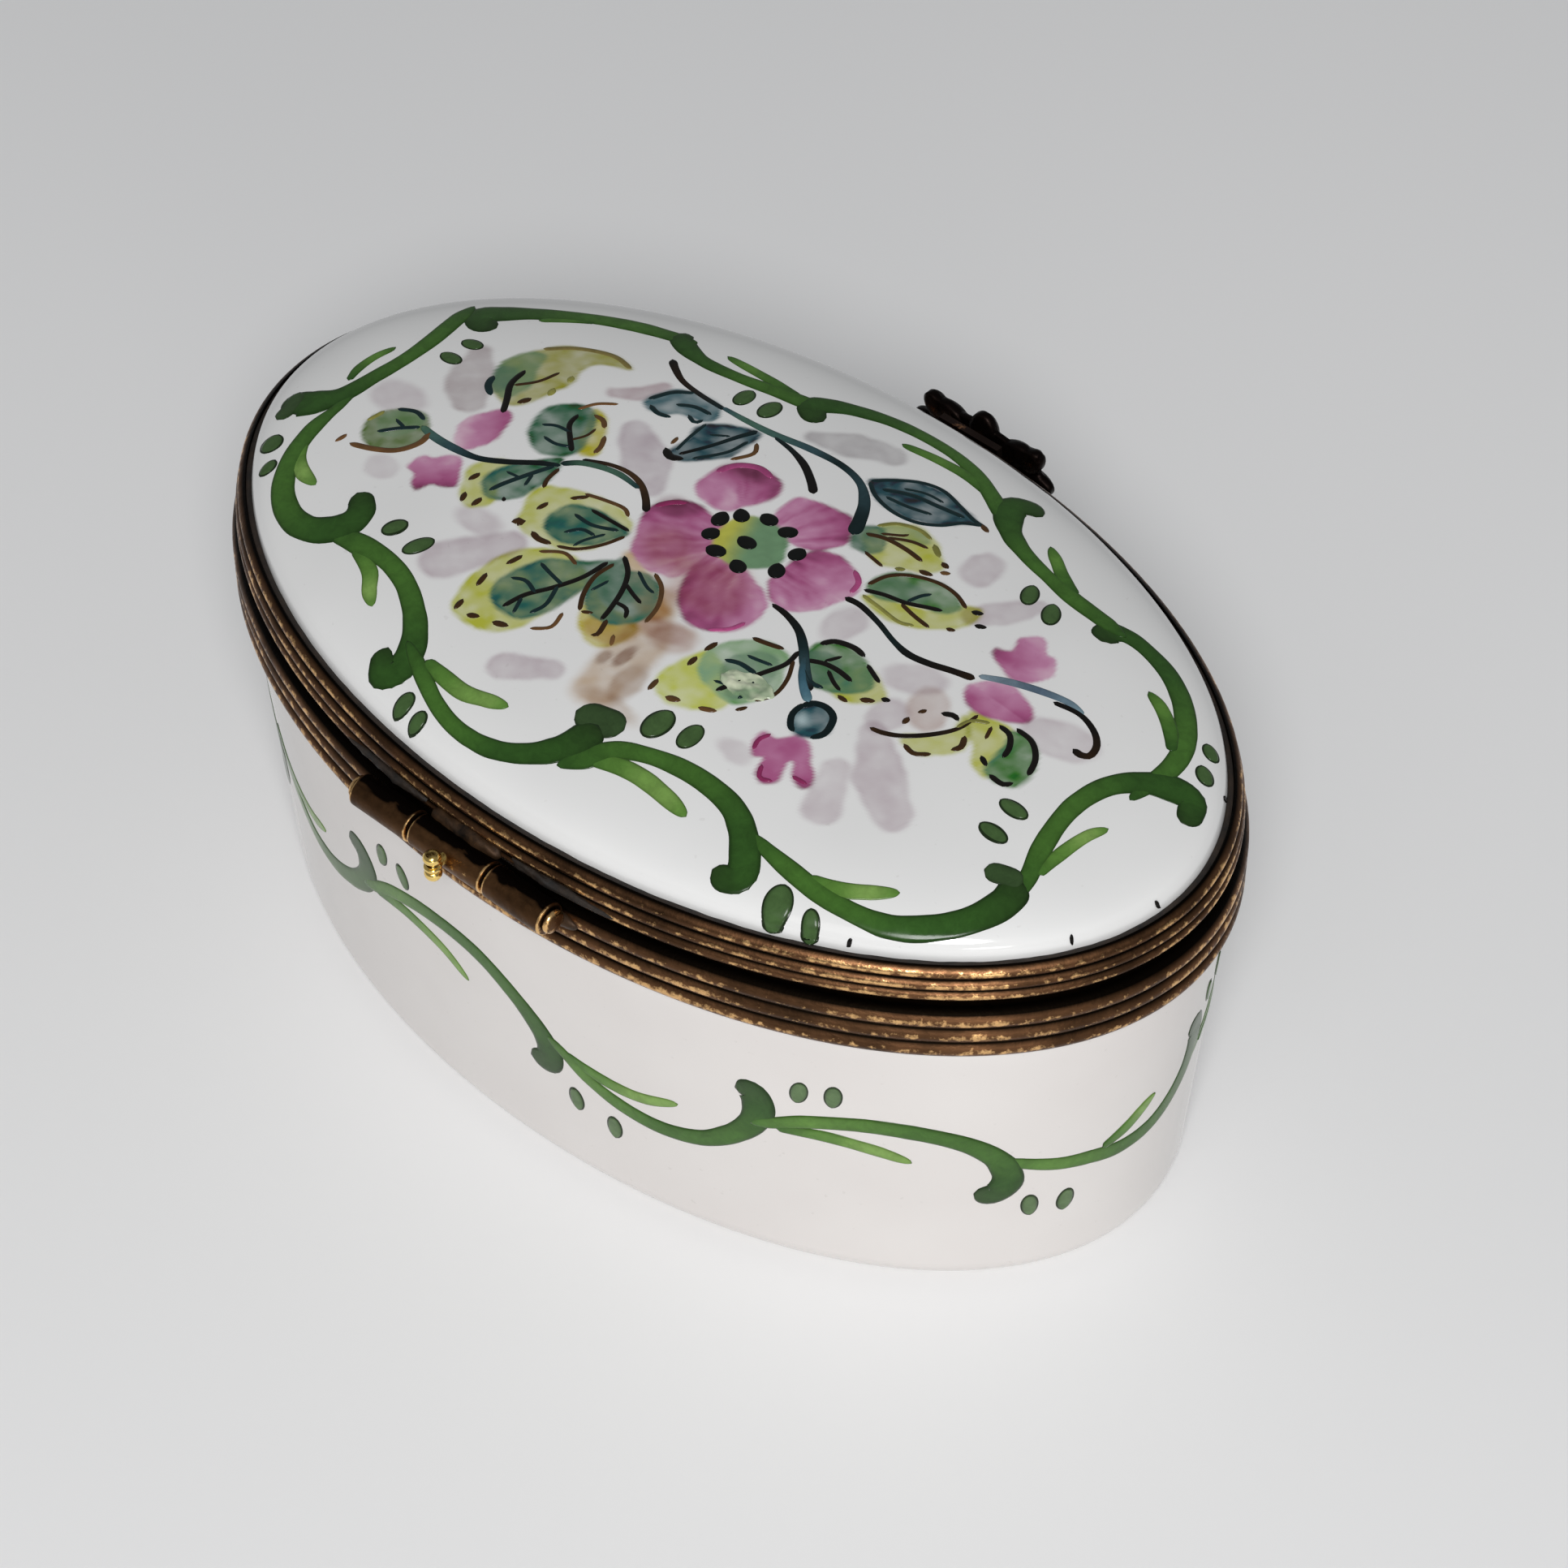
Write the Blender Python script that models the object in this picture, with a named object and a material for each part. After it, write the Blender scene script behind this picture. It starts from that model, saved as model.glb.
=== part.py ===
"""Oval porcelain pill box with hinged lid and brass mounts.

X is the long axis, Y the short one, +Z up. The hinge is at the back (+Y) and
the clasp at the front (-Y). The origin is the centre of the foot, on the table.
Lengths in the tables below are millimetres; MM turns them into metres.
"""

import math

import bmesh
import bpy
from mathutils import Matrix, Vector

MM = 0.001

# --- driving dimensions (mm) ------------------------------------------------
HALF_LENGTH = 28.5          # lid collar over its reeds, half the long axis
HALF_WIDTH = 17.6           # lid collar over its reeds, half the short axis
RING_SEGMENTS = 72          # facets round every oval

CUP_WALL_TOP = 18.2         # porcelain shoulder under the base collar
CUP_RIM = 20.7              # top of the porcelain rim inside the collar
CUP_FLOOR = 2.6             # inside floor
CUP_TAPER = 1.1             # how much narrower the cup is at the foot
FOOT_RECESS = 0.5           # hollow under the foot ring

BASE_BAND = (18.5, 21.5)    # base collar, bottom and top
LID_BAND = (21.8, 24.0)     # lid collar, bottom and top
BASE_PROUD = 0.3            # the base collar stands this far outside the lid's
REEDS = 3                   # rounded reeds rolled into each collar
BASE_REED_DEPTH = 0.30
LID_REED_DEPTH = 0.24
BEZEL_TOP = 23.2            # locating lip inside the lid

DOME_RISE = 3.0             # lid porcelain above its joint with the brass
DOME_POWER = 2.5            # superellipse power of the lid's section
PLATE_INSET = 0.95          # lid porcelain edge, in from the collar's reeds
PLATE_UNDERSIDE = 23.6

HINGE_Y = 18.35             # hinge axis, parallel to X
HINGE_Z = 21.65
BARREL_RADIUS = 0.85
BARREL_BORE = 0.45
PIN_RADIUS = 0.35
PIN_HEAD_RADIUS = 0.62
BARREL_HALF = 6.1           # half the length of the three knuckles together
KNUCKLE_SPLIT = 2.3         # half the length of the middle knuckle
KNUCKLE_GAP = 0.2
SEAT_CLEARANCE = 0.3        # the collars are scooped out round the barrel
FINIAL_OUT = 1.4            # stop finial, out from the hinge axis

CLASP_HALF_WIDTH = 4.4
CLASP_HALF_HEIGHT = 2.8
CLASP_CENTRE_Z = 21.6
CLASP_BACK_Y = -18.85
CLASP_RELIEF = 1.42
TONGUE_HALF_WIDTH = 1.9

PORCELAIN = ("porcelain", (0.86, 0.86, 0.84), 0.08, 0.0)
BRASS = ("antique_brass", (0.23, 0.13, 0.055), 0.42, 1.0)
POLISHED = ("polished_brass", (0.83, 0.58, 0.24), 0.18, 1.0)
DARK_BRASS = ("blackened_brass", (0.035, 0.028, 0.024), 0.5, 1.0)
CEMENT = ("plaster", (0.62, 0.58, 0.50), 0.9, 0.0)


# --- helpers ----------------------------------------------------------------
def material(finish):
    name, colour, roughness, metallic = finish
    found = bpy.data.materials.get(name)
    if found:
        return found
    made = bpy.data.materials.new(name)
    made.use_nodes = True
    shader = made.node_tree.nodes["Principled BSDF"]
    shader.inputs["Base Color"].default_value = (*colour, 1.0)
    shader.inputs["Roughness"].default_value = roughness
    shader.inputs["Metallic"].default_value = metallic
    return made


def finish_mesh(name, bm, finish, smooth_angle=35):
    """Turns a bmesh in millimetres into a named object in metres."""
    bmesh.ops.recalc_face_normals(bm, faces=bm.faces)
    bmesh.ops.scale(bm, vec=Vector((MM, MM, MM)), verts=bm.verts)
    mesh = bpy.data.meshes.new(name)
    bm.to_mesh(mesh)
    bm.free()
    mesh.shade_smooth()
    mesh.set_sharp_from_angle(angle=math.radians(smooth_angle))
    mesh.materials.append(material(finish))
    obj = bpy.data.objects.new(name, mesh)
    bpy.context.scene.collection.objects.link(obj)
    return obj


def oval(inset, z):
    """Half length, half width and height of an oval ring set in from the lid collar."""
    return HALF_LENGTH - inset, HALF_WIDTH - inset, z


def loft(name, rings, finish, ring_shaped=False):
    """Skins a stack of ovals: ring shaped, or closed by a flat face at each end."""
    bm = bmesh.new()
    loops = []
    for half_x, half_y, z in rings:
        turn = [2 * math.pi * i / RING_SEGMENTS for i in range(RING_SEGMENTS)]
        loops.append([bm.verts.new((half_x * math.cos(a), half_y * math.sin(a), z)) for a in turn])
    pairs = list(zip(loops, loops[1:]))
    if ring_shaped:
        pairs.append((loops[-1], loops[0]))
    else:
        bm.faces.new(loops[0][::-1])
        bm.faces.new(loops[-1])
    for low, high in pairs:
        for i in range(RING_SEGMENTS):
            j = (i + 1) % RING_SEGMENTS
            bm.faces.new((low[i], low[j], high[j], high[i]))
    return finish_mesh(name, bm, finish)


def reeded_edge(bottom, top, crest, depth, lean=0.0, lean_power=2.0, steps=4):
    """Outer edge of a collar from bottom to top: rounded reeds with a groove between each.

    lean rolls the upper reeds inwards, as the collar is burnished over the porcelain.
    """
    points = []
    height = top - bottom
    for reed in range(REEDS):
        for step in range(steps + (reed == REEDS - 1)):
            part = step / steps
            up = (reed + part) / REEDS
            hollow = depth * (1 - math.sin(math.pi * part) ** 0.7)
            points.append(oval(crest + hollow + lean * up ** lean_power, bottom + height * up))
    return points


def turned(name, profile, axis, centre, finish, segments=24, hollow=False):
    """A turned piece: profile is (radius, distance along the axis) in mm."""
    bm = bmesh.new()
    loops = []
    for radius, along in profile:
        loop = []
        for i in range(segments):
            a = 2 * math.pi * (i + 0.5) / segments
            loop.append(bm.verts.new((radius * math.cos(a), radius * math.sin(a), along)))
        loops.append(loop)
    pairs = list(zip(loops, loops[1:]))
    if hollow:
        pairs.append((loops[-1], loops[0]))
    else:
        bm.faces.new(loops[0][::-1])
        bm.faces.new(loops[-1])
    for low, high in pairs:
        for i in range(segments):
            j = (i + 1) % segments
            bm.faces.new((low[i], low[j], high[j], high[i]))
    turn = Vector((0, 0, 1)).rotation_difference(Vector(axis)).to_matrix().to_4x4()
    bmesh.ops.transform(bm, matrix=Matrix.Translation(centre) @ turn, verts=bm.verts)
    return finish_mesh(name, bm, finish)


def cut(target, cutter):
    """Takes the cutter's shape out of the target and leaves the cutter as a guide."""
    modifier = target.modifiers.new("seat", "BOOLEAN")
    modifier.operation = "DIFFERENCE"
    modifier.solver = "EXACT"
    modifier.object = cutter
    cutter.hide_render = True
    cutter.display_type = "WIRE"


# --- base: porcelain cup, its collar, bezel and bedding ----------------------
def build_cup():
    wall = CUP_WALL_TOP
    rings = [
        oval(5.7, FOOT_RECESS),
        oval(5.1, 0.0),
        oval(2.9, 0.0),
    ]
    foot_radius = 1.5
    for step in range(1, 5):
        a = math.radians(90 * step / 4)
        rings.append(oval(2.9 - foot_radius * math.sin(a), foot_radius * (1 - math.cos(a))))
    for part in (0.35, 0.7, 1.0):
        rings.append(oval(0.3 + CUP_TAPER * (1 - part), foot_radius + (wall - foot_radius) * part))
    rings += [
        oval(1.85, wall),
        oval(1.85, CUP_RIM - 0.3),
        oval(2.15, CUP_RIM),
        oval(3.2, CUP_RIM),
        oval(3.5, CUP_RIM - 0.3),
        oval(3.9, 6.0),
        oval(4.4, 4.0),
        oval(5.6, 2.9),
        oval(7.0, CUP_FLOOR),
    ]
    return loft("base_cup", rings, PORCELAIN)


def build_base_collar():
    bottom, top = BASE_BAND
    outer = reeded_edge(bottom, top, -BASE_PROUD, BASE_REED_DEPTH)
    rings = outer + [
        oval(3.3, top),
        oval(3.3, top - 0.5),
        oval(0.75, top - 0.5),
        oval(0.75, bottom),
    ]
    return loft("base_collar", rings, BRASS, ring_shaped=True)


def build_bezel():
    rings = [
        oval(2.2, BASE_BAND[1] + 0.25),
        oval(2.7, BASE_BAND[1] + 0.25),
        oval(2.7, BEZEL_TOP - 0.1),
        oval(2.6, BEZEL_TOP),
        oval(2.35, BEZEL_TOP),
        oval(2.2, BEZEL_TOP - 0.15),
    ]
    return loft("base_bezel", rings, BRASS, ring_shaped=True)


def bedding_ring(name, inner, outer, bottom, top):
    rings = [oval(outer, bottom), oval(inner, bottom), oval(inner, top), oval(outer, top)]
    return loft(name, rings, CEMENT, ring_shaped=True)


# --- lid: domed porcelain plate, its collar and bedding ----------------------
def dome_height(part):
    """Height of the lid's top at part of the way out from its centre (0 to 1)."""
    return LID_BAND[1] + DOME_RISE * (1 - part ** DOME_POWER) ** (1 / DOME_POWER)


def build_plate():
    half_x, half_y, joint = oval(PLATE_INSET, LID_BAND[1])
    under_x, under_y, _ = oval(3.2, 0)
    rings = []
    for part in (0.15, 0.4, 0.65, 0.85, 1.0):
        rise = 1.1 * (1 - part ** 2)
        rings.append((under_x * part, under_y * part, PLATE_UNDERSIDE + rise))
    rings.append((half_x, half_y, PLATE_UNDERSIDE))
    for part in (1.0, 0.997, 0.985, 0.96, 0.92, 0.86, 0.78, 0.66, 0.5, 0.3, 0.1):
        rings.append((half_x * part, half_y * part, dome_height(part)))
    return loft("lid_plate", rings, PORCELAIN)


def build_lid_collar():
    bottom, top = LID_BAND
    outer = reeded_edge(bottom, top, 0.0, LID_REED_DEPTH, lean=0.36, lean_power=3.0)
    rings = outer + [
        oval(0.65, top - 0.12),
        oval(0.65, 22.9),
        oval(1.6, 22.9),
        oval(1.6, bottom),
    ]
    return loft("lid_collar", rings, BRASS, ring_shaped=True)


# --- hinge -------------------------------------------------------------------
def build_knuckle(name, start, end):
    bevel = 0.08
    profile = [
        (BARREL_BORE, start),
        (BARREL_RADIUS - bevel, start),
        (BARREL_RADIUS, start + bevel),
        (BARREL_RADIUS, end - bevel),
        (BARREL_RADIUS - bevel, end),
        (BARREL_BORE, end),
    ]
    return turned(name, profile, (1, 0, 0), (0, HINGE_Y, HINGE_Z), BRASS, hollow=True)


def build_pin():
    end = BARREL_HALF + 0.1
    head = 0.3
    profile = [
        (PIN_HEAD_RADIUS - 0.1, -end - head),
        (PIN_HEAD_RADIUS, -end - head + 0.1),
        (PIN_HEAD_RADIUS, -end),
        (PIN_RADIUS, -end),
        (PIN_RADIUS, end),
        (PIN_HEAD_RADIUS, end),
        (PIN_HEAD_RADIUS, end + head - 0.1),
        (PIN_HEAD_RADIUS - 0.1, end + head),
    ]
    return turned("hinge_pin", profile, (1, 0, 0), (0, HINGE_Y, HINGE_Z), BRASS)


def build_finial():
    """Turned bead on the middle knuckle: it meets the base when the lid stands open."""
    profile = [
        (0.10, -0.55), (0.28, -0.47), (0.40, -0.30), (0.42, -0.12), (0.33, 0.05),
        (0.25, 0.10), (0.40, 0.18), (0.40, 0.34), (0.24, 0.42), (0.24, 0.55),
        (0.38, 0.64), (0.42, 0.85), (0.34, 1.05), (0.12, 1.15),
    ]
    place = (0, HINGE_Y + FINIAL_OUT, HINGE_Z)
    return turned("hinge_stop_finial", profile, (0, 0, 1), place, POLISHED, segments=16)


def scoop(collar):
    """Hollows the collar's back edge so that the barrel lies in it."""
    reach = BARREL_HALF + 0.8
    radius = BARREL_RADIUS + SEAT_CLEARANCE
    cutter = turned(
        collar.name + "_barrel_scoop", [(radius, -reach), (radius, reach)],
        (1, 0, 0), (0, HINGE_Y, HINGE_Z), BRASS, segments=32,
    )
    cut(collar, cutter)


# --- clasp -------------------------------------------------------------------
def build_ornament():
    """Cast leaf spray with a lobed outline, flat behind and raised in front."""
    around, levels = 56, 6
    bm = bmesh.new()

    def outline(a):
        lobes = 0.88 + 0.15 * abs(math.cos(4 * a)) ** 0.7 + 0.04 * math.cos(3 * a + 0.6)
        return CLASP_HALF_WIDTH * lobes * math.cos(a), CLASP_HALF_HEIGHT * lobes * math.sin(a)

    def spot(a, part, depth):
        x, z = outline(a)
        return bm.verts.new((x * part, CLASP_BACK_Y - depth, CLASP_CENTRE_Z + z * part))

    loops = [[spot(2 * math.pi * i / around, 1.0, 0.0) for i in range(around)]]
    for level in range(levels):
        part = math.cos(math.radians(90 * (level + 0.4) / levels))
        loop = []
        for i in range(around):
            a = 2 * math.pi * i / around
            swell = 1 - part ** 2.2
            veins = 1 - 0.22 * part * (0.5 - 0.5 * math.cos(8 * a))
            loop.append(spot(a, part, 0.45 + (CLASP_RELIEF - 0.45) * swell * veins))
        loops.append(loop)
    bm.faces.new(loops[0][::-1])
    bm.faces.new(loops[-1])
    for low, high in zip(loops, loops[1:]):
        for i in range(around):
            j = (i + 1) % around
            bm.faces.new((low[i], low[j], high[j], high[i]))
    return finish_mesh("clasp_ornament", bm, DARK_BRASS, smooth_angle=50)


def build_tongue():
    """Plate behind the ornament: fixed to the lid collar, cranked clear of the base."""
    section = [
        (-17.9, 23.3), (-18.3, 23.3), (-18.3, 22.3), (-18.65, 21.9), (-18.65, 19.3),
        (-18.45, 19.1), (-18.35, 19.3), (-18.35, 21.75), (-17.9, 22.1),
    ]
    bm = bmesh.new()
    sides = [
        [bm.verts.new((x, y, z)) for y, z in section]
        for x in (-TONGUE_HALF_WIDTH, TONGUE_HALF_WIDTH)
    ]
    bm.faces.new(sides[0])
    bm.faces.new(sides[1][::-1])
    for i in range(len(section)):
        j = (i + 1) % len(section)
        bm.faces.new((sides[0][i], sides[0][j], sides[1][j], sides[1][i]))
    return finish_mesh("clasp_tongue", bm, BRASS)


def build_catch():
    """Low round stud on the base collar that the tongue snaps over."""
    front = -(HALF_WIDTH + BASE_PROUD)
    profile = [(0.55, 0.0), (0.5, 0.06), (0.3, 0.1), (0.08, 0.12)]
    return turned("catch_stud", profile, (0, -1, 0), (0, front - 0.1, 20.0), BRASS, segments=16)


def build():
    for obj in list(bpy.data.objects):
        bpy.data.objects.remove(obj, do_unlink=True)

    build_cup()
    base_collar = build_base_collar()
    build_bezel()
    bedding_ring("base_cement", 1.55, 1.05, CUP_WALL_TOP + 0.35, CUP_RIM)
    plate = build_plate()
    lid_collar = build_lid_collar()
    lid_cement = bedding_ring("lid_cement", 1.6, 1.0, 23.15, 23.35)

    outer_start = KNUCKLE_SPLIT + KNUCKLE_GAP
    build_knuckle("hinge_knuckle_left", outer_start, BARREL_HALF)
    build_knuckle("hinge_knuckle_right", -BARREL_HALF, -outer_start)
    middle = build_knuckle("hinge_knuckle_middle", -KNUCKLE_SPLIT, KNUCKLE_SPLIT)
    build_pin()
    finial = build_finial()
    scoop(base_collar)
    scoop(lid_collar)

    ornament = build_ornament()
    tongue = build_tongue()
    build_catch()

    axis = bpy.data.objects.new("lid_hinge_axis", None)
    axis.location = (0, HINGE_Y * MM, HINGE_Z * MM)
    bpy.context.scene.collection.objects.link(axis)
    bpy.context.view_layer.update()
    for piece in (plate, lid_collar, lid_cement, middle, finial, ornament, tongue):
        piece.parent = axis
        piece.matrix_parent_inverse = axis.matrix_world.inverted()
    bpy.context.view_layer.update()


build()
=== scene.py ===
"""Looks of the oval porcelain pill box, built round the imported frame.

Lengths in this file are millimetres unless a name says otherwise; MM turns them
into the frame's metres. X is the long axis, the hinge is at +Y, the clasp at -Y.
"""
import math

import bpy
import numpy as np
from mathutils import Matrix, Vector


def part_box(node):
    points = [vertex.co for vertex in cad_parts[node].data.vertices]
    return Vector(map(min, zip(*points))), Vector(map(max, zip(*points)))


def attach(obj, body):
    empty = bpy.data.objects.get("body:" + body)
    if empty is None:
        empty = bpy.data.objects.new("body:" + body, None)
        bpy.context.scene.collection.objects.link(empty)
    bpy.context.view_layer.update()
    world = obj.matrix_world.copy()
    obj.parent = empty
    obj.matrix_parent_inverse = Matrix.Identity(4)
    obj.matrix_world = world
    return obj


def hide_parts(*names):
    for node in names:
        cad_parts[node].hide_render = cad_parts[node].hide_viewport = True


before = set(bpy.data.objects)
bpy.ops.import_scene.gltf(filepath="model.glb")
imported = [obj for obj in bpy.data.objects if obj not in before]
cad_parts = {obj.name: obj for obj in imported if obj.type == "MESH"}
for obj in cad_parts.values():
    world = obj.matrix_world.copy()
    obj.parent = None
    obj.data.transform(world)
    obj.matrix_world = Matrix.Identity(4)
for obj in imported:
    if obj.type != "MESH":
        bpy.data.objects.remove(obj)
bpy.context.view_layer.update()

MM = 0.001


def box_mm(node):
    low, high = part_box(node)
    return np.array(low) / MM, np.array(high) / MM


# --- sizes taken from the frame ----------------------------------------------
LID_LOW, LID_HIGH = box_mm("lid_collar")
PLATE_LOW, PLATE_HIGH = box_mm("lid_plate")
BAND_LOW, BAND_HIGH = box_mm("base_collar")
BEZEL_LOW, BEZEL_HIGH = box_mm("base_bezel")
PIN_LOW, PIN_HIGH = box_mm("hinge_pin")
BARREL_LOW, BARREL_HIGH = box_mm("hinge_knuckle_middle")
SIDE_LOW, SIDE_HIGH = box_mm("hinge_knuckle_left")
BEAD_LOW, BEAD_HIGH = box_mm("hinge_stop_finial")
CLASP_LOW, CLASP_HIGH = box_mm("clasp_ornament")

HALF_X = round((LID_HIGH[0] - LID_LOW[0]) / 2, 2)
HALF_Y = round((LID_HIGH[1] - LID_LOW[1]) / 2, 2)
PLATE_X = (PLATE_HIGH[0] - PLATE_LOW[0]) / 2
PLATE_Y = (PLATE_HIGH[1] - PLATE_LOW[1]) / 2
JOINT_Z = LID_HIGH[2]
DOME_RISE = PLATE_HIGH[2] - JOINT_Z
DOME_POWER = 2.5
HINGE_Y = (PIN_LOW[1] + PIN_HIGH[1]) / 2
HINGE_Z = (PIN_LOW[2] + PIN_HIGH[2]) / 2
BARREL_R = (BARREL_HIGH[2] - BARREL_LOW[2]) / 2
WALL_TOP = BAND_LOW[2] - 0.3
WALL_FOOT = 1.5


# --- small tools -------------------------------------------------------------
def tone(r, g, b):
    """Linear colour from the usual 0 to 255 values."""
    return np.array([((c / 255 + 0.055) / 1.055) ** 2.4 if c > 10 else c / 3294 for c in (r, g, b)])


def smooth(x):
    x = np.clip(x, 0, 1)
    return x * x * (3 - 2 * x)


def circle(count, start=0.0):
    """Angles of evenly spaced points round a circle."""
    return start + 2 * np.pi * np.arange(count) / count


def facing(degrees):
    """Cosine and sine of an angle in degrees."""
    return math.cos(math.radians(degrees)), math.sin(math.radians(degrees))


def running(x, y):
    """Distance travelled at each point of a line, from its start."""
    return np.concatenate([[0], np.cumsum(np.hypot(np.diff(x), np.diff(y)))])


def spread(values, count):
    """The values, numbers or rows, spaced out evenly to a new count."""
    values = np.atleast_1d(np.asarray(values, float))
    before, after = np.linspace(0, 1, len(values)), np.linspace(0, 1, count)
    if values.ndim == 1:
        return np.interp(after, before, values)
    return np.stack([np.interp(after, before, column) for column in values.T], -1)


def ripple(x, y, scale, seed=0.0):
    """Smooth repeatable noise from -1 to 1, in two octaves."""
    x, y = np.broadcast_arrays(np.asarray(x, float), np.asarray(y, float))
    total = 0.0
    for octave, share in ((1.0, 0.68), (2.17, 0.32)):
        u, v = x / scale * octave + 17.3 * seed + 5.1 * octave, y / scale * octave - 9.7 * seed
        iu, iv = np.floor(u), np.floor(v)
        fu, fv = smooth(u - iu), smooth(v - iv)

        def corner(du, dv):
            mixed = np.sin((iu + du) * 127.1 + (iv + dv) * 311.7 + seed * 74.7) * 43758.5453
            return mixed - np.floor(mixed)
        low = corner(0, 0) * (1 - fu) + corner(1, 0) * fu
        high = corner(0, 1) * (1 - fu) + corner(1, 1) * fu
        total = total + share * (low * (1 - fv) + high * fv)
    return 2 * total - 1


def bands(rings, segments, closed=False, inward=False, first=0):
    """Quads between neighbouring rings of points. Closed also joins the last ring to the first."""
    faces = []
    for j in range(rings if closed else rings - 1):
        a, b = first + j * segments, first + (j + 1) % rings * segments
        for i in range(segments):
            n = (i + 1) % segments
            faces.append((a + i, b + i, b + n, a + n) if inward else (a + i, a + n, b + n, b + i))
    return faces


def end_caps(rings, segments, inward=False, first=0):
    """One face over the first ring and one over the last."""
    start = tuple(range(first, first + segments))
    end = tuple(range(first + (rings - 1) * segments, first + rings * segments))
    return [start, end[::-1]] if inward else [start[::-1], end]


def new_mesh(name, verts, faces, material, colours=None, values=None, sharp=40):
    """A smooth object in metres, from points in millimetres."""
    mesh = bpy.data.meshes.new(name)
    mesh.from_pydata((np.asarray(verts, float) * MM).tolist(), [], faces)
    if colours is not None:
        layer = mesh.color_attributes.new("Paint", "FLOAT_COLOR", "POINT")
        filled = np.ones((len(verts), 4), np.float32)
        filled[:, :3] = colours
        layer.data.foreach_set("color", filled.ravel())
    for key, value in (values or {}).items():
        layer = mesh.attributes.new(key, "FLOAT", "POINT")
        layer.data.foreach_set("value", np.asarray(value, np.float32))
    mesh.validate()
    mesh.update()
    mesh.shade_smooth()
    if sharp:
        mesh.set_sharp_from_angle(angle=math.radians(sharp))
    mesh.materials.append(material)
    obj = bpy.data.objects.new(name, mesh)
    bpy.context.scene.collection.objects.link(obj)
    return obj


def uv_layer(obj, name, coords):
    """coords is one (u, v) for each loop."""
    layer = obj.data.uv_layers.new(name=name)
    layer.data.foreach_set("uv", np.asarray(coords, np.float32).ravel())


def place(obj, body, slot, *nodes):
    """Hangs a piece on its body and hides the CAD nodes it stands for. The slot is not used."""
    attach(obj, body)
    if nodes:
        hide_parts(*nodes)
    return obj


# --- the two painted skins ---------------------------------------------------
def lid_skin(x, y, lift=0.0):
    """Points on the lid's dome, lifted off it along its normal."""
    x, y, lift = np.broadcast_arrays(np.asarray(x, float), np.asarray(y, float), lift)
    k = np.clip(np.hypot(x / PLATE_X, y / PLATE_Y), 1e-6, 0.9995)
    inner = 1 - k ** DOME_POWER
    z = JOINT_Z + DOME_RISE * inner ** (1 / DOME_POWER)
    slope = DOME_RISE * k ** (DOME_POWER - 1) * inner ** (1 / DOME_POWER - 1)
    normal = np.stack([slope * x / (PLATE_X ** 2 * k), slope * y / (PLATE_Y ** 2 * k), np.ones_like(k)], -1)
    normal /= np.linalg.norm(normal, axis=-1, keepdims=True)
    return np.stack([x, y, z], -1) + normal * lift[..., None]


# Distance round the cup's wall, at its mean inset, for each angle of the oval.
MEAN_INSET = 0.8
TURN = np.linspace(0, 2 * np.pi, 7201)
ARC = running((HALF_X - MEAN_INSET) * np.cos(TURN), (HALF_Y - MEAN_INSET) * np.sin(TURN))
GIRTH = ARC[-1]


def arc_of(degrees):
    turns, rest = np.divmod(degrees, 360)
    return turns * GIRTH + np.interp(np.radians(rest), TURN, ARC)


def wall_inset(z):
    """How far the tapered wall stands inside the lid collar's oval."""
    return 0.3 + 1.1 * (WALL_TOP - z) / (WALL_TOP - WALL_FOOT)


def wall_skin(arc, z, lift=0.0):
    """Points on the cup's outer wall; arc runs round it from +X towards the hinge."""
    a = np.interp(np.mod(arc, GIRTH), ARC, TURN)
    inset = wall_inset(z)
    rx, ry = HALF_X - inset, HALF_Y - inset
    nx, ny = np.cos(a) / rx, np.sin(a) / ry
    size = np.hypot(nx, ny)
    return np.stack([
        rx * np.cos(a) + nx / size * lift,
        ry * np.sin(a) + ny / size * lift,
        z - 0.066 * lift + 0 * a,
    ], -1)


# --- enamel strokes: thin closed ribbons that follow a skin ------------------
SPLINE_STEPS = 16


def catmull(a, b, c, d, steps):
    """Points on the smooth curve from b to c, without c itself."""
    t = np.linspace(0, 1, steps + 1)[:-1, None]
    return 0.5 * (2 * b + (c - a) * t + (2 * a - 5 * b + 4 * c - d) * t ** 2
                  + (3 * b - a - 3 * c + d) * t ** 3)


def spline(points, values, step):
    """A smooth curve through the points, with the values eased between them."""
    p, values = np.asarray(points, float), np.asarray(values, float)
    if len(p) == 2:
        p = np.array([p[0], (p[0] + p[1]) / 2, p[1]])
        values = np.array([values[0], (values[0] + values[-1]) / 2, values[-1]])
    ends = np.vstack([2 * p[0] - p[1], p, 2 * p[-1] - p[-2]])
    ease = smooth(np.linspace(0, 1, SPLINE_STEPS + 1)[:-1, None])
    curve, eased = [], []
    for i in range(len(p) - 1):
        curve.append(catmull(*ends[i:i + 4], SPLINE_STEPS))
        eased.append(values[i] * (1 - ease) + values[i + 1] * ease)
    curve = np.vstack(curve + [p[-1:]])
    eased = np.vstack(eased + [values[-1:]])
    run = np.concatenate([[0], np.cumsum(np.linalg.norm(np.diff(curve, axis=0), axis=1))])
    count = max(6, int(run[-1] / step) + 1)
    # Points bunch up at both ends, where the stroke is rounded off.
    bunched = (1 - np.cos(np.linspace(0, np.pi, count))) / 2
    at = (0.35 * bunched + 0.65 * np.linspace(0, 1, count)) * run[-1]

    def read(table):
        return np.stack([np.interp(at, run, column) for column in table.T], -1)
    return read(curve), read(eased), at


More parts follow.
